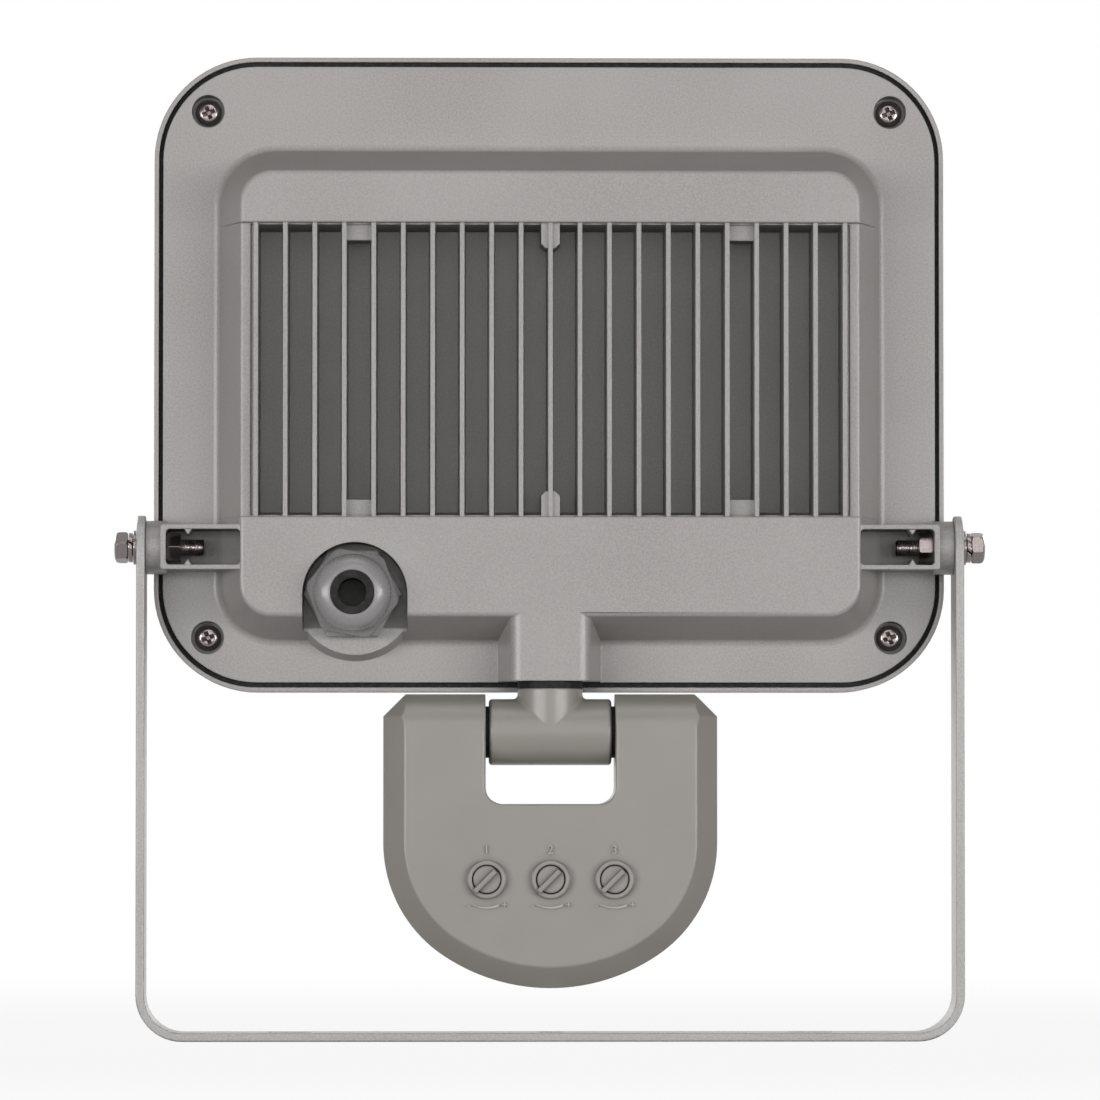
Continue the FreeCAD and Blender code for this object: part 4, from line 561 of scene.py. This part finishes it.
def thread_tree():
    """A screw thread: a four-sided ridge on a helix round the Z axis."""
    tree, enter = new_tree("thread_on_bolt", [
        ("Turns", "Float"), ("Radius", "Float"), ("Length", "Float"), ("Ridge", "Float"),
        ("Material", "Material"),
    ])
    helix = add_node(tree, "GeometryNodeCurveSpiral", {
        "Resolution": 32, "Rotations": enter["Turns"], "Start Radius": enter["Radius"],
        "End Radius": enter["Radius"], "Height": enter["Length"],
    })
    ridge = add_node(tree, "GeometryNodeCurvePrimitiveCircle",
                     {"Resolution": 4, "Radius": enter["Ridge"]})
    wire = add_node(tree, "GeometryNodeCurveToMesh", {
        "Curve": helix.outputs["Curve"], "Profile Curve": ridge.outputs["Curve"],
        "Fill Caps": True,
    })
    end_tree(tree, wire.outputs["Mesh"], enter["Material"])
    return tree


def as_part(name, data):
    """A passing object for a geometry tree or a modifier to work on."""
    part = bpy.data.objects.new(name, data)
    bpy.context.scene.collection.objects.link(part)
    return part


def repeat(name, mesh, columns, rows, width, height, material):
    """One mesh repeated on a grid."""
    part = as_part(f"{name}_part", finish_mesh(mesh))
    tree = bpy.data.node_groups.get("part_on_grid") or grid_tree()
    result = grow(name, tree, {
        "Part": part, "Columns": columns, "Rows": rows, "Width": width, "Height": height,
        "Material": material,
    })
    bpy.data.objects.remove(part)
    return result


def cut(mesh, cutter):
    """One mesh less another."""
    solid, tool = as_part("solid", mesh), as_part("tool", cutter)
    boolean = solid.modifiers.new("cut", "BOOLEAN")
    boolean.operation = "DIFFERENCE"
    boolean.solver = "EXACT"
    boolean.object = tool
    depsgraph = bpy.context.evaluated_depsgraph_get()
    result = bpy.data.meshes.new_from_object(solid.evaluated_get(depsgraph), depsgraph=depsgraph)
    for part in (solid, tool):
        bpy.data.objects.remove(part)
    return result


def wedge(length, width, depth, top, bottom_share=0.25):
    """One pair of arms of a cross recess, tapered down from its top."""
    shape = bmesh.new()
    verts = []
    for level, share in ((top, 1.0), (top - depth, bottom_share)):
        for x, y in SQUARE:
            verts.append(shape.verts.new((x * length / 2 * share, y * width / 2, level)))
    for face in ((3, 2, 1, 0), (4, 5, 6, 7), (0, 1, 5, 4), (1, 2, 6, 5), (2, 3, 7, 6),
                 (3, 0, 4, 7)):
        shape.faces.new([verts[corner] for corner in face])
    return as_mesh("wedge", shape)


def pan_screw(name, head, high, shank, length, dome, recess):
    """A pan-head screw with a cross recess. Its head stands on level 0 and points up."""
    flat, edge, steps = head * 0.2, 0.15 * MM, 8
    arm_width, recess_depth, above = recess * 0.27, high * 0.8, 0.2 * MM

    def outline(angle):
        crown = []
        for step in range(steps + 1):
            turn = math.radians(90) * step / steps
            crown.append((flat + (head / 2 - flat) * math.sin(turn),
                          high - dome + dome * math.cos(turn)))
        return [
            (0.0, high), *crown, (head / 2, edge), (head / 2 - edge, 0.0), (shank / 2, 0.0),
            (shank / 2, -length), (0.0, -length - shank / 3),
        ]

    body = turned(name, outline, count=48)
    for turn in (0, 90):
        tool = wedge(recess, arm_width, recess_depth, high + above)
        tool.transform(Matrix.Rotation(math.radians(turn), 4, "Z"))
        body = cut(body, tool)
    return body


def hexagon_part(name, flats, levels, corners, turn, bore=0.0):
    """A hexagon head or nut standing on the Z axis.

    For its low and its high end, corners gives the radius that stays flat and the depth to which
    the corners are turned off. A bore has its two edges broken.
    """
    widest = flats / math.sqrt(3)
    steps, edge = 5, 0.3 * MM

    def outline(angle):
        reach = hexagon_radius(flats, angle)
        ends = []
        for level, (flat, depth), inwards in zip(levels, corners, (1, -1)):
            end = []
            for step in range(steps + 1):
                radius = flat + (reach - flat) * step / steps
                share = min(1.0, (radius - flat) / (widest - flat))
                end.append((radius, level + inwards * depth * (1 - math.sqrt(1 - share * share))))
            ends.append(end)
        rim = ends[0] + ends[1][::-1]
        low, high = levels
        if bore:
            return rim + [(bore / 2 + edge, high), (bore / 2, high - edge), (bore / 2, low + edge),
                          (bore / 2 + edge, low)]
        return [(0.0, low)] + rim + [(0.0, high)]

    whole = turned(name, outline, closed=bool(bore))
    return moved(whole, Matrix.Rotation(math.radians(turn), 4, "Z"))


def ring(name, inner, outer, low, high, edge=0.12 * MM):
    """A flat washer with slightly rounded edges."""
    return turned(name, lambda angle: [
        (inner, low), (outer - edge, low), (outer, low + edge), (outer, high - edge),
        (outer - edge, high), (inner, high),
    ], closed=True)


def split_ring(name, inner, outer, low, high, start, split, slant, rise):
    """A spring washer: one turn of square wire, cut on the slant, whose ends stand apart."""
    shape = bmesh.new()
    steps = 64
    sections = []
    for step in range(steps + 1):
        share = step / steps
        angle = start + split / 2 + (math.tau - split) * share
        lift = rise * (share - 0.5)
        section = []
        for r, level, lean in ((inner, low, 0), (outer, low, 0), (outer, high, slant),
                               (inner, high, slant)):
            section.append(shape.verts.new(
                (r * math.cos(angle + lean), r * math.sin(angle + lean), level + lift)))
        sections.append(section)
    for here, there in zip(sections, sections[1:]):
        for i in range(4):
            shape.faces.new((here[i], here[(i + 1) % 4], there[(i + 1) % 4], there[i]))
    shape.faces.new(sections[0])
    shape.faces.new(sections[-1])
    return as_mesh(name, shape)


def lettering(text, height, relief_height):
    """Raised characters in the XY plane, standing up along Z."""
    share_of_digit, edge = 0.7, relief_height / 6
    curve = bpy.data.curves.new("characters", "FONT")
    curve.body = text
    curve.size = height / share_of_digit
    curve.extrude = relief_height / 2
    curve.bevel_depth = edge
    curve.align_x = "CENTER"
    curve.align_y = "CENTER"
    part = as_part("characters", curve)
    mesh = bpy.data.meshes.new_from_object(part)
    bpy.data.objects.remove(part)
    shape = bmesh.new()
    shape.from_mesh(mesh)
    bmesh.ops.remove_doubles(shape, verts=shape.verts, dist=SAME_POINT)
    shape.to_mesh(mesh)
    shape.free()
    return mesh


def arc_mark(radius, start, stop, width, relief_height):
    """A raised arc in the XY plane that grows from thin to thick, as an arrow does."""
    shape = bmesh.new()
    steps, thin_end = 20, 0.5
    rows = []
    for step in range(steps + 1):
        share = step / steps
        angle = math.radians(start + (stop - start) * share)
        half = width / 2 * (thin_end + share)
        for level in (0.0, relief_height):
            for side in (-1, 1):
                r = radius + side * half
                rows.append(shape.verts.new((r * math.cos(angle), r * math.sin(angle), level)))
    for step in range(steps):
        a, b = rows[step * 4:step * 4 + 4], rows[step * 4 + 4:step * 4 + 8]
        for i, j in ((0, 1), (1, 3), (3, 2), (2, 0)):
            shape.faces.new((a[i], a[j], b[j], b[i]))
    for end in (rows[:4], rows[-4:]):
        shape.faces.new((end[0], end[1], end[3], end[2]))
    return as_mesh("arc", shape)


def soft_block(name, width, depth, height, bevel):
    """A small moulded block with softened top edges, standing on level 0."""
    shape = bmesh.new()
    rows = []
    for inset, level in ((0.0, 0.0), (0.0, height - bevel), (bevel, height)):
        rows.append([
            shape.verts.new((x * (width / 2 - inset), y * (depth / 2 - inset), level))
            for x, y in SQUARE
        ])
    for below, above in zip(rows, rows[1:]):
        for i in range(4):
            shape.faces.new((below[i], below[(i + 1) % 4], above[(i + 1) % 4], above[i]))
    shape.faces.new(rows[-1])
    shape.faces.new(rows[0][::-1])
    return as_mesh(name, shape)


def moved(mesh, *matrices):
    """A mesh after several moves, the last one named first."""
    for matrix in reversed(matrices):
        mesh.transform(matrix)
    return mesh


def shift(x, y, z):
    """A move in metres."""
    return Matrix.Translation((x, y, z))


class FloodlightPiece:
    """What every operator of this file shares."""

    bl_options = {"REGISTER"}


class FLOODLIGHT_OT_casting(FloodlightPiece, bpy.types.Operator):
    """Coat the die-cast housing and the front frame"""

    bl_idname = "floodlight.casting"
    bl_label = "Casting"

    def execute(self, context):
        coat = silver_powder_coat("silver_powder_coat", context.scene.floodlight_finishes.coat)
        paint(coat, "rear_housing", "front_frame")
        return {"FINISHED"}


class FLOODLIGHT_OT_bracket(FloodlightPiece, bpy.types.Operator):
    """Coat the folded strap like the casting"""

    bl_idname = "floodlight.bracket"
    bl_label = "Bracket"

    def execute(self, context):
        coat = silver_powder_coat("silver_strap_coat", context.scene.floodlight_finishes.strap_coat)
        paint(coat, "bracket")
        return {"FINISHED"}


class FLOODLIGHT_OT_case_screws(FloodlightPiece, bpy.types.Operator):
    """Make the four case screws"""

    bl_idname = "floodlight.case_screws"
    bl_label = "Case screws"

    def execute(self, context):
        size = context.scene.floodlight_sizes
        low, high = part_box("frame_screws")
        head, head_high, shank = 7.6 * MM, 2.6 * MM, 3.5 * MM
        tip = shank / 3
        as_tightened = Matrix.Rotation(math.radians(20), 4, "Z")
        steel = stainless_steel()
        screw = pan_screw("case_screw", head, head_high, shank,
                          high.y - low.y - head_high - tip, size.screw_dome, size.recess)
        screw.transform(as_tightened)
        middle = centre_of("frame_screws")
        screws = repeat("case_screws", screw, 2, 2, high.x - low.x - head, high.z - low.z - head,
                        steel)
        moved(screws, shift(middle.x, low.y + head_high, middle.z), OUT_OF_BACK)
        add_piece("case_screws", screws, steel, "frame_screws")
        return {"FINISHED"}


class FLOODLIGHT_OT_pivots(FloodlightPiece, bpy.types.Operator):
    """Make the pivot bolts with their threads, washers and nuts"""

    bl_idname = "floodlight.pivots"
    bl_label = "Pivot bolts"

    def execute(self, context):
        pitch = context.scene.floodlight_sizes.thread_pitch
        steel = bpy.data.materials["bright_stainless"]
        tree = thread_tree()
        flats, core, ridge, chamfer = 8.0 * MM, 2.2 * MM, 0.3 * MM, 0.4 * MM
        tip, nut_bore, washer_bore = 1.0 * MM, 5.1 * MM, 2.7 * MM
        plain_reach, spring_reach, spring_gap = 5.0 * MM, 4.3 * MM, 0.2 * MM
        head_corners = ((3.7 * MM, 0.5 * MM), (2.7 * MM, 1.6 * MM))
        nut_corners = ((3.7 * MM, 0.6 * MM), (3.7 * MM, 0.6 * MM))
        start, split, slant = math.radians(-78), math.radians(8), math.radians(12)
        rise = 0.15 * MM
        for side, outwards, head_turn, nut_turn in (("left", TO_LEFT, 46.0, 32.0),
                                                    ("right", TO_RIGHT, 47.0, 48.0)):
            low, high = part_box(f"pivot_bolt_{side}")
            near, far = sorted((abs(low.x), abs(high.x)))
            to_axis = shift(0, 0, (low.z + high.z) / 2) @ outwards
            flat, spring, nut = [sorted(abs(corner.x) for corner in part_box(f"{kind}_{side}"))
                                 for kind in ("flat_washer", "spring_washer", "pivot_nut")]
            foot, seat = spring
            head = hexagon_part("head", flats, (seat, far), head_corners, head_turn)
            shank = turned("shank", lambda angle: [
                (0.0, near), (core - chamfer, near), (core, near + chamfer), (core, seat),
                (0.0, seat),
            ])
            long = seat - near - tip
            thread = grow("thread", tree, {
                "Turns": long / pitch, "Radius": core, "Length": long, "Ridge": ridge,
                "Material": steel,
            })
            thread.transform(shift(0, 0, near + chamfer))
            bolt = joined("bolt", (head, shank, thread))
            plain = ring("plain_washer", washer_bore, plain_reach, *flat)
            coil = split_ring("coil", washer_bore, spring_reach, foot + spring_gap,
                              seat - spring_gap, start, split, slant, rise)
            plain_nut = hexagon_part("nut", flats, nut, nut_corners, nut_turn, nut_bore)
            for name, mesh, node in (("hex_bolt", bolt, "pivot_bolt"),
                                     ("plain_washer", plain, "flat_washer"),
                                     ("split_washer", coil, "spring_washer"),
                                     ("hex_nut", plain_nut, "pivot_nut")):
                add_piece(f"{name}_{side}", moved(mesh, to_axis), steel, f"{node}_{side}")
        return {"FINISHED"}


class FLOODLIGHT_OT_gland(FloodlightPiece, bpy.types.Operator):
    """Make the cable gland's domed nut and its rubber insert"""

    bl_idname = "floodlight.gland"
    bl_label = "Cable gland"

    def execute(self, context):
        finish = context.scene.floodlight_finishes
        mould_edge = context.scene.floodlight_sizes.mould_edge
        # Polyamide, moulded: a cool grey with a slight gloss and only a little painted shade in its
        # crevices.
        nylon = moulded("moulded_polyamide", finish.polyamide, roughness=0.25,
                        grain_depth=0.012 * MM, edge=mould_edge, crevice_darkness=0.2)
        paint(nylon, "gland_body")
        low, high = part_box("gland_nut")
        middle = centre_of("gland_nut")
        tall = high.y - low.y
        flats, turned_off = 24.0 * MM, 13.4 * MM
        foot, edge, cone, step_in = 8.3 * MM, 0.3 * MM, 0.8, 0.15 * MM
        waist, mouth, curl, curl_steps = 11.1 * MM, 6.5 * MM, 4.6 * MM, 12
        bore, lip, lip_edge, lip_depth, funnel = 8.9 * MM, 0.1 * MM, 0.2 * MM, 4.0 * MM, 4.6 * MM
        as_tightened = Matrix.Rotation(math.radians(50), 4, "Z")

        def outline(angle):
            reach = min(hexagon_radius(flats, angle), turned_off)
            dome = []
            for step in range(curl_steps + 1):
                share = math.radians(90) * step / curl_steps
                dome.append((mouth + curl * math.cos(share), tall - curl + curl * math.sin(share)))
            return [
                (bore, 0.0), (reach - edge, 0.0), (reach, edge),
                (reach, foot - (reach - waist) * cone), (waist + step_in, foot),
                (waist, foot + edge), *dome,
                (mouth - lip, tall - lip_edge), (mouth - lip, tall - lip_depth),
                (bore, tall - funnel),
            ]

        nut = moved(turned("gland_dome", outline, count=96, closed=True),
                    shift(middle.x, high.y, middle.z), OUT_OF_BACK, as_tightened)
        add_piece("gland_dome", nut, nylon, "gland_nut")
        rubber = epdm_rubber()
        paint(rubber, "gland_seal", "neck_seal", "friction_washer_left", "friction_washer_right",
              "perimeter_seal", "glass_gasket")
        return {"FINISHED"}


class FLOODLIGHT_OT_sensor(FloodlightPiece, bpy.types.Operator):
    """Give the joint, the sensor's shells and the dials their moulded finish"""

    bl_idname = "floodlight.sensor"
    bl_label = "Sensor and joint"

    def execute(self, context):
        finish = context.scene.floodlight_finishes
        mould_edge = context.scene.floodlight_sizes.mould_edge
        # ABS, moulded: a warm satin grey with painted shade in its corners.
        shell = moulded("moulded_abs", finish.abs, roughness=0.33, grain_depth=0.010 * MM,
                        edge=mould_edge)
        paint(shell, "knuckle", "sensor_rear_shell", "sensor_front_shell", "tilt_axle",
              "dial_1", "dial_2", "dial_3")
        paint(bpy.data.materials["bright_stainless"], "neck_washer", "neck_nut")
        return {"FINISHED"}


class FLOODLIGHT_OT_marks(FloodlightPiece, bpy.types.Operator):
    """Raise a number over each dial and a turning mark under it"""

    bl_idname = "floodlight.marks"
    bl_label = "Dial marks"

    def execute(self, context):
        finish, size = context.scene.floodlight_finishes, context.scene.floodlight_sizes
        # The same ABS on the raised marks, painted paler: a painted highlight, as if they caught
        # the light.
        raised = moulded("abs_painted_highlight", finish.marks, roughness=0.33, grain_depth=0.005 * MM,
                         edge=0.06 * MM)
        collar_high = 1.2 * MM
        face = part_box("sensor_rear_shell")[0].y + collar_high
        number_up, sign_across, sign_down, sign_share = 8.6 * MM, 5.2 * MM, 7.4 * MM, 0.8
        arc_radius, arc_start, arc_stop, arc_width, arc_up = 9.5 * MM, 245, 292, 0.5 * MM, 1.4 * MM
        marks = []
        for number in (1, 2, 3):
            dial = centre_of(f"dial_{number}")
            figure = lettering(str(number), size.mark_height, size.mark_relief)
            arc = arc_mark(arc_radius, arc_start, arc_stop, arc_width, size.mark_relief)
            parts = [(figure, 0.0, number_up), (arc, 0.0, arc_up)]
            for sign, across in (("-", -sign_across), ("+", sign_across)):
                parts.append((lettering(sign, size.mark_height * sign_share, size.mark_relief),
                              across, -sign_down))
            for mesh, across, up in parts:
                marks.append(moved(mesh, shift(dial.x + across, face, dial.z + up), OUT_OF_BACK))
        add_piece("dial_marks", joined("dial_marks", marks), raised, "sensor_rear_shell",
                  replace=False)
        return {"FINISHED"}


class FLOODLIGHT_OT_lens(FloodlightPiece, bpy.types.Operator):
    """Make the faceted lens in front of the infrared detector"""

    bl_idname = "floodlight.lens"
    bl_label = "Sensor lens"

    def execute(self, context):
        finish, size = context.scene.floodlight_finishes, context.scene.floodlight_sizes
        # Polyethylene, moulded thin: milky and soft, because light spreads inside it.
        milky = fine_grained("milky_polyethylene", finish.lens, roughness=0.35,
                             grain=1.2 * MM, depth=0.01 * MM,
                             **{"Subsurface Weight": 0.4, "Subsurface Scale": 2 * MM})
        low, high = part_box("lens")
        middle = centre_of("lens")
        thick, flange, rim = 1.2 * MM, 1.7 * MM, (high.x - low.x) / 2
        foot, tall = rim - flange, high.y - low.y - thick
        ball = (foot * foot + tall * tall) / (2 * tall)
        widest = math.asin(foot / ball)
        inner = ball - thick - size.facet_rise
        inner_widest = math.acos(max(-1.0, min(1.0, (ball - tall - thick) / inner)))
        sectors_of_bands, band_steps, inner_steps = (1, 8, 12, 16, 24), 6, 12

        def on_ball(radius, polar):
            """A point of the outline, at an angle from the lens's axis."""
            return radius * math.sin(polar), thick + tall - ball + radius * math.cos(polar)

        def outline(angle):
            points = []
            for band, sectors in enumerate(sectors_of_bands):
                across = (angle / math.tau * sectors) % 1.0 * 2 - 1
                side = 1.0 if sectors == 1 else 1 - across * across
                for step in range(band_steps):
                    part = step / band_steps
                    up = part * 2 - 1
                    along = 1 - up * up if band else 1 - part * part
                    rise = size.facet_rise * side * along
                    polar = widest * (band + part) / len(sectors_of_bands)
                    points.append(on_ball(ball + rise - size.facet_rise, polar))
            points += [(foot, thick), (rim, thick), (rim, 0.0)]
            for step in range(inner_steps, -1, -1):
                points.append(on_ball(inner, inner_widest * step / inner_steps))
            return points

        dome = moved(turned("faceted_lens", outline, count=144),
                     shift(middle.x, low.y, middle.z), TO_FRONT)
        add_piece("faceted_lens", dome, milky, "lens")
        return {"FINISHED"}


class FLOODLIGHT_OT_light_source(FloodlightPiece, bpy.types.Operator):
    """Make the LEDs and finish the board, the reflector and the glass"""

    bl_idname = "floodlight.light_source"
    bl_label = "LEDs, reflector and glass"

    def execute(self, context):
        finish, size = context.scene.floodlight_finishes, context.scene.floodlight_sizes
        # Solder mask, printed and baked: an even white with some gloss.
        mask = fine_grained("white_solder_mask", finish.mask, roughness=0.3,
                            grain=4 * MM, depth=0.002 * MM)
        # White-filled polycarbonate, moulded: bright and almost matt.
        white = fine_grained("matt_polycarbonate", finish.reflector, roughness=0.4,
                             grain=0.8 * MM, depth=0.005 * MM)
        # Silicone gel with phosphor, dropped in and cured: yellow, smooth and wet-looking.
        gel = fine_grained("phosphor_gel", finish.phosphor, roughness=0.25,
                           grain=0.6 * MM, depth=0.01 * MM)
        paint(mask, "led_board")
        paint(white, "reflector")
        paint(bpy.data.materials["bright_stainless"], "led_board_screws", "driver_screws")
        paint(toughened_glass(), "glass")
        low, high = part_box("leds")
        middle = centre_of("leds")
        chip, case_edge, tall = 3.0 * MM, 0.2 * MM, high.y - low.y
        case_top, gel_side, gel_foot = tall * 0.85, tall * 0.97, tall * 0.8
        gel_reach, foot_reach = 1.0 * MM, 1.15 * MM
        case = soft_block("case", chip, chip, case_top, case_edge)
        window = turned("window", lambda angle: [
            (0.0, tall), (gel_reach, gel_side), (foot_reach, gel_foot), (0.0, gel_foot),
        ], count=24)
        span = (high.x - low.x - chip, high.z - low.z - chip)
        for name, mesh, material in (("led_cases", case, white), ("led_windows", window, gel)):
            array = repeat(name, mesh, size.led_columns, size.led_rows, *span, material)
            moved(array, shift(middle.x, low.y, middle.z), TO_FRONT)
            add_piece(name, array, material, "leds")
        return {"FINISHED"}


class FLOODLIGHT_OT_electronics(FloodlightPiece, bpy.types.Operator):
    """Finish the parts inside the lamp and the sensor"""

    bl_idname = "floodlight.electronics"
    bl_label = "Electronics"

    def execute(self, context):
        paint(circuit_board(), "driver_board", "sensor_board")
        # Windings and cans under cast resin: nearly black, dull and slightly lumpy.
        potted = fine_grained("wound_and_potted", linear("2B2B30"), roughness=0.5,
                              grain=0.8 * MM, depth=0.05 * MM)
        # Nylon, moulded: off-white with a soft sheen.
        nylon = fine_grained("white_nylon", linear("E4E2DA"), roughness=0.45,
                             grain=0.5 * MM, depth=0.01 * MM)
        # A drawn steel can, nickel plated: bright and a little warm.
        nickel = fine_grained("nickel_can", linear("C2C0BA"), roughness=0.28,
                              grain=0.6 * MM, depth=0.005 * MM, Metallic=1.0)
        # Clear-cast resin over a dark cell: brown and glossy.
        resin = fine_grained("dark_resin", linear("3A2A26"), roughness=0.2,
                             grain=0.6 * MM, depth=0.005 * MM)
        paint(potted, "driver_parts", "potentiometers")
        paint(nylon, "terminal_block")
        paint(nickel, "pyro_sensor")
        paint(resin, "photocell")
        return {"FINISHED"}


def pale_floor(scene):
    """A paper sweep that the camera, gloss and glass see white, a little greyer by the object.

    As a floor it takes the lamps' light like dark grey paper, so it throws little back.
    """
    reach, sunk = 20.0, 0.2 * MM
    near, far, near_white = 0.25, 0.8, 0.92
    mesh = bpy.data.meshes.new("floor")
    mesh.from_pydata([(x * reach, y * reach, -sunk) for x, y in SQUARE], [], [(0, 1, 2, 3)])
    floor = bpy.data.objects.new("floor", mesh)
    scene.collection.objects.link(floor)
    material = bpy.data.materials.new("pale_paper_sweep")
    material.use_nodes = True
    tree = material.node_tree
    tree.nodes.clear()
    path = add_node(tree, "ShaderNodeLightPath").outputs
    seen = add_node(tree, "ShaderNodeMath",
                    {0: path["Is Camera Ray"], 1: path["Is Glossy Ray"]}, operation="MAXIMUM")
    seen = add_node(tree, "ShaderNodeMath",
                    {0: seen.outputs[0], 1: path["Is Transmission Ray"]}, operation="MAXIMUM")
    place = add_node(tree, "ShaderNodeTexCoord").outputs["Object"]
    away = add_node(tree, "ShaderNodeVectorMath", {0: place}, operation="LENGTH")
    white = add_node(tree, "ShaderNodeMapRange", {
        "Value": away.outputs["Value"], "From Min": near, "From Max": far,
        "To Min": near_white, "To Max": 1.0,
    })
    share = add_node(tree, "ShaderNodeMath", {0: seen.outputs[0], 1: white.outputs["Result"]},
                     operation="MULTIPLY")
    paper = add_node(tree, "ShaderNodeBsdfDiffuse", {"Color": linear("6E6E6E")})
    glow = add_node(tree, "ShaderNodeEmission", {"Color": WHITE, "Strength": 1.0})
    mixed = add_node(tree, "ShaderNodeMixShader",
                     {0: share.outputs[0], 1: paper.outputs[0], 2: glow.outputs[0]})
    add_node(tree, "ShaderNodeOutputMaterial", {"Surface": mixed.outputs[0]})
    mesh.materials.append(material)


def white_room(scene, stage):
    """A room that camera and glass see white, and gloss sees darker behind the camera."""
    behind, ahead = -0.9, 0.1
    world = bpy.data.worlds.new("white_room")
    scene.world = world
    world.use_nodes = True
    tree = world.node_tree
    tree.nodes.clear()
    path = add_node(tree, "ShaderNodeLightPath").outputs
    towards = add_node(tree, "ShaderNodeTexCoord").outputs["Generated"]
    towards = add_node(tree, "ShaderNodeSeparateXYZ", {"Vector": towards}).outputs["Y"]
    room = add_node(tree, "ShaderNodeMapRange", {
        "Value": towards, "From Min": behind, "From Max": ahead,
        "To Min": stage.room, "To Max": 1.0,
    })
    glossy = add_node(tree, "ShaderNodeMath",
                      {0: path["Is Glossy Ray"], 1: room.outputs["Result"]}, operation="MULTIPLY")
    seen = add_node(tree, "ShaderNodeMath",
                    {0: path["Is Camera Ray"], 1: glossy.outputs[0]}, operation="MAXIMUM")
    seen = add_node(tree, "ShaderNodeMath",
                    {0: seen.outputs[0], 1: path["Is Transmission Ray"]}, operation="MAXIMUM")
    strength = add_node(tree, "ShaderNodeMapRange",
                        {"Value": seen.outputs[0], "To Min": stage.ambient, "To Max": 1.0})
    light = add_node(tree, "ShaderNodeBackground",
                     {"Color": WHITE, "Strength": strength.outputs["Result"]})
    add_node(tree, "ShaderNodeOutputWorld", {"Surface": light.outputs[0]})


def stand(scene, name, data, place, target):
    """Stand a lamp or camera at a place and turn it towards a target."""
    holder = bpy.data.objects.new(name, data)
    scene.collection.objects.link(holder)
    holder.location = place
    holder.rotation_euler = (Vector(target) - Vector(place)).to_track_quat("-Z", "Y").to_euler()
    return holder


def soft_lamps(scene, stage):
    """Softboxes at both sides, at the camera and in front, and two cards that only gloss shows."""
    middle = (0, 0, 0.15)
    for name, place, width, height, power in (
        ("left_softbox", (-1.35, -1.73, 0.2), 1.7, 0.4, stage.side_light),
        ("right_softbox", (1.35, -1.73, 0.2), 1.7, 0.4, stage.side_light),
        ("fill_softbox", (0, -2.0, 0.3), 0.8, 0.6, stage.fill_light),
        ("upper_card", (0, -1.8, 1.1), 0.8, 0.8, stage.card_light),
        ("top_card", (0, -0.6, 1.9), 1.2, 0.8, stage.card_light),
        ("front_left_softbox", (-1.4, 1.8, 1.0), 1.0, 1.2, stage.front_light),
        ("front_right_softbox", (1.4, 1.8, 1.0), 1.0, 1.2, stage.front_light),
    ):
        lamp = bpy.data.lights.new(name, "AREA")
        lamp.shape = "RECTANGLE"
        lamp.size, lamp.size_y = width, height
        lamp.energy = power
        holder = stand(scene, name, lamp, place, middle)
        holder.visible_camera = False
        holder.visible_diffuse = not name.endswith("card")


def photo_camera(scene, stage):
    """The camera behind the lamp, where the photograph was taken from."""
    camera = bpy.data.cameras.new("photo_camera")
    camera.sensor_width = 36.0
    camera.lens = stage.lens
    camera.clip_end = 100.0
    scene.camera = stand(scene, "photo_camera", camera,
                         (stage.across, -stage.distance, stage.height),
                         (stage.aim_across, 0, stage.aim_height))


class FLOODLIGHT_OT_stage(FloodlightPiece, bpy.types.Operator):
    """Set up the floor, the room, the lamps and the camera"""

    bl_idname = "floodlight.stage"
    bl_label = "Stage"

    def execute(self, context):
        scene, stage = context.scene, context.scene.floodlight_stage
        scene.view_settings.view_transform = "Standard"
        pale_floor(scene)
        white_room(scene, stage)
        soft_lamps(scene, stage)
        photo_camera(scene, stage)
        return {"FINISHED"}


OPERATORS = (
    FLOODLIGHT_OT_casting, FLOODLIGHT_OT_bracket, FLOODLIGHT_OT_case_screws, FLOODLIGHT_OT_pivots,
    FLOODLIGHT_OT_gland, FLOODLIGHT_OT_sensor, FLOODLIGHT_OT_marks, FLOODLIGHT_OT_lens,
    FLOODLIGHT_OT_light_source, FLOODLIGHT_OT_electronics, FLOODLIGHT_OT_stage,
)


class FLOODLIGHT_PT_panel(bpy.types.Panel):
    """Settings and steps of the floodlight"""

    bl_idname = "FLOODLIGHT_PT_panel"
    bl_label = "Floodlight"
    bl_space_type = "VIEW_3D"
    bl_region_type = "UI"
    bl_category = "Floodlight"

    def draw(self, context):
        column = self.layout.column()
        for group in (context.scene.floodlight_finishes, context.scene.floodlight_sizes,
                      context.scene.floodlight_stage):
            for name in group.bl_rna.properties.keys():
                if name not in ("rna_type", "name"):
                    column.prop(group, name)
        for operator in OPERATORS:
            column.operator(operator.bl_idname)


GROUPS = {
    "floodlight_finishes": FloodlightFinishes,
    "floodlight_sizes": FloodlightSizes,
    "floodlight_stage": FloodlightStage,
}


def register():
    """Register the settings, the steps and the panel."""
    for name, group in GROUPS.items():
        bpy.utils.register_class(group)
        setattr(bpy.types.Scene, name, PointerProperty(type=group))
    for operator in OPERATORS:
        bpy.utils.register_class(operator)
    bpy.utils.register_class(FLOODLIGHT_PT_panel)


def unregister():
    """Undo what register did."""
    bpy.utils.unregister_class(FLOODLIGHT_PT_panel)
    for operator in reversed(OPERATORS):
        bpy.utils.unregister_class(operator)
    for name, group in GROUPS.items():
        delattr(bpy.types.Scene, name)
        bpy.utils.unregister_class(group)


def main():
    """Register, then make every piece in order."""
    register()
    for operator in OPERATORS:
        section, step = operator.bl_idname.split(".")
        getattr(getattr(bpy.ops, section), step)()


if __name__ == "__main__":
    main()
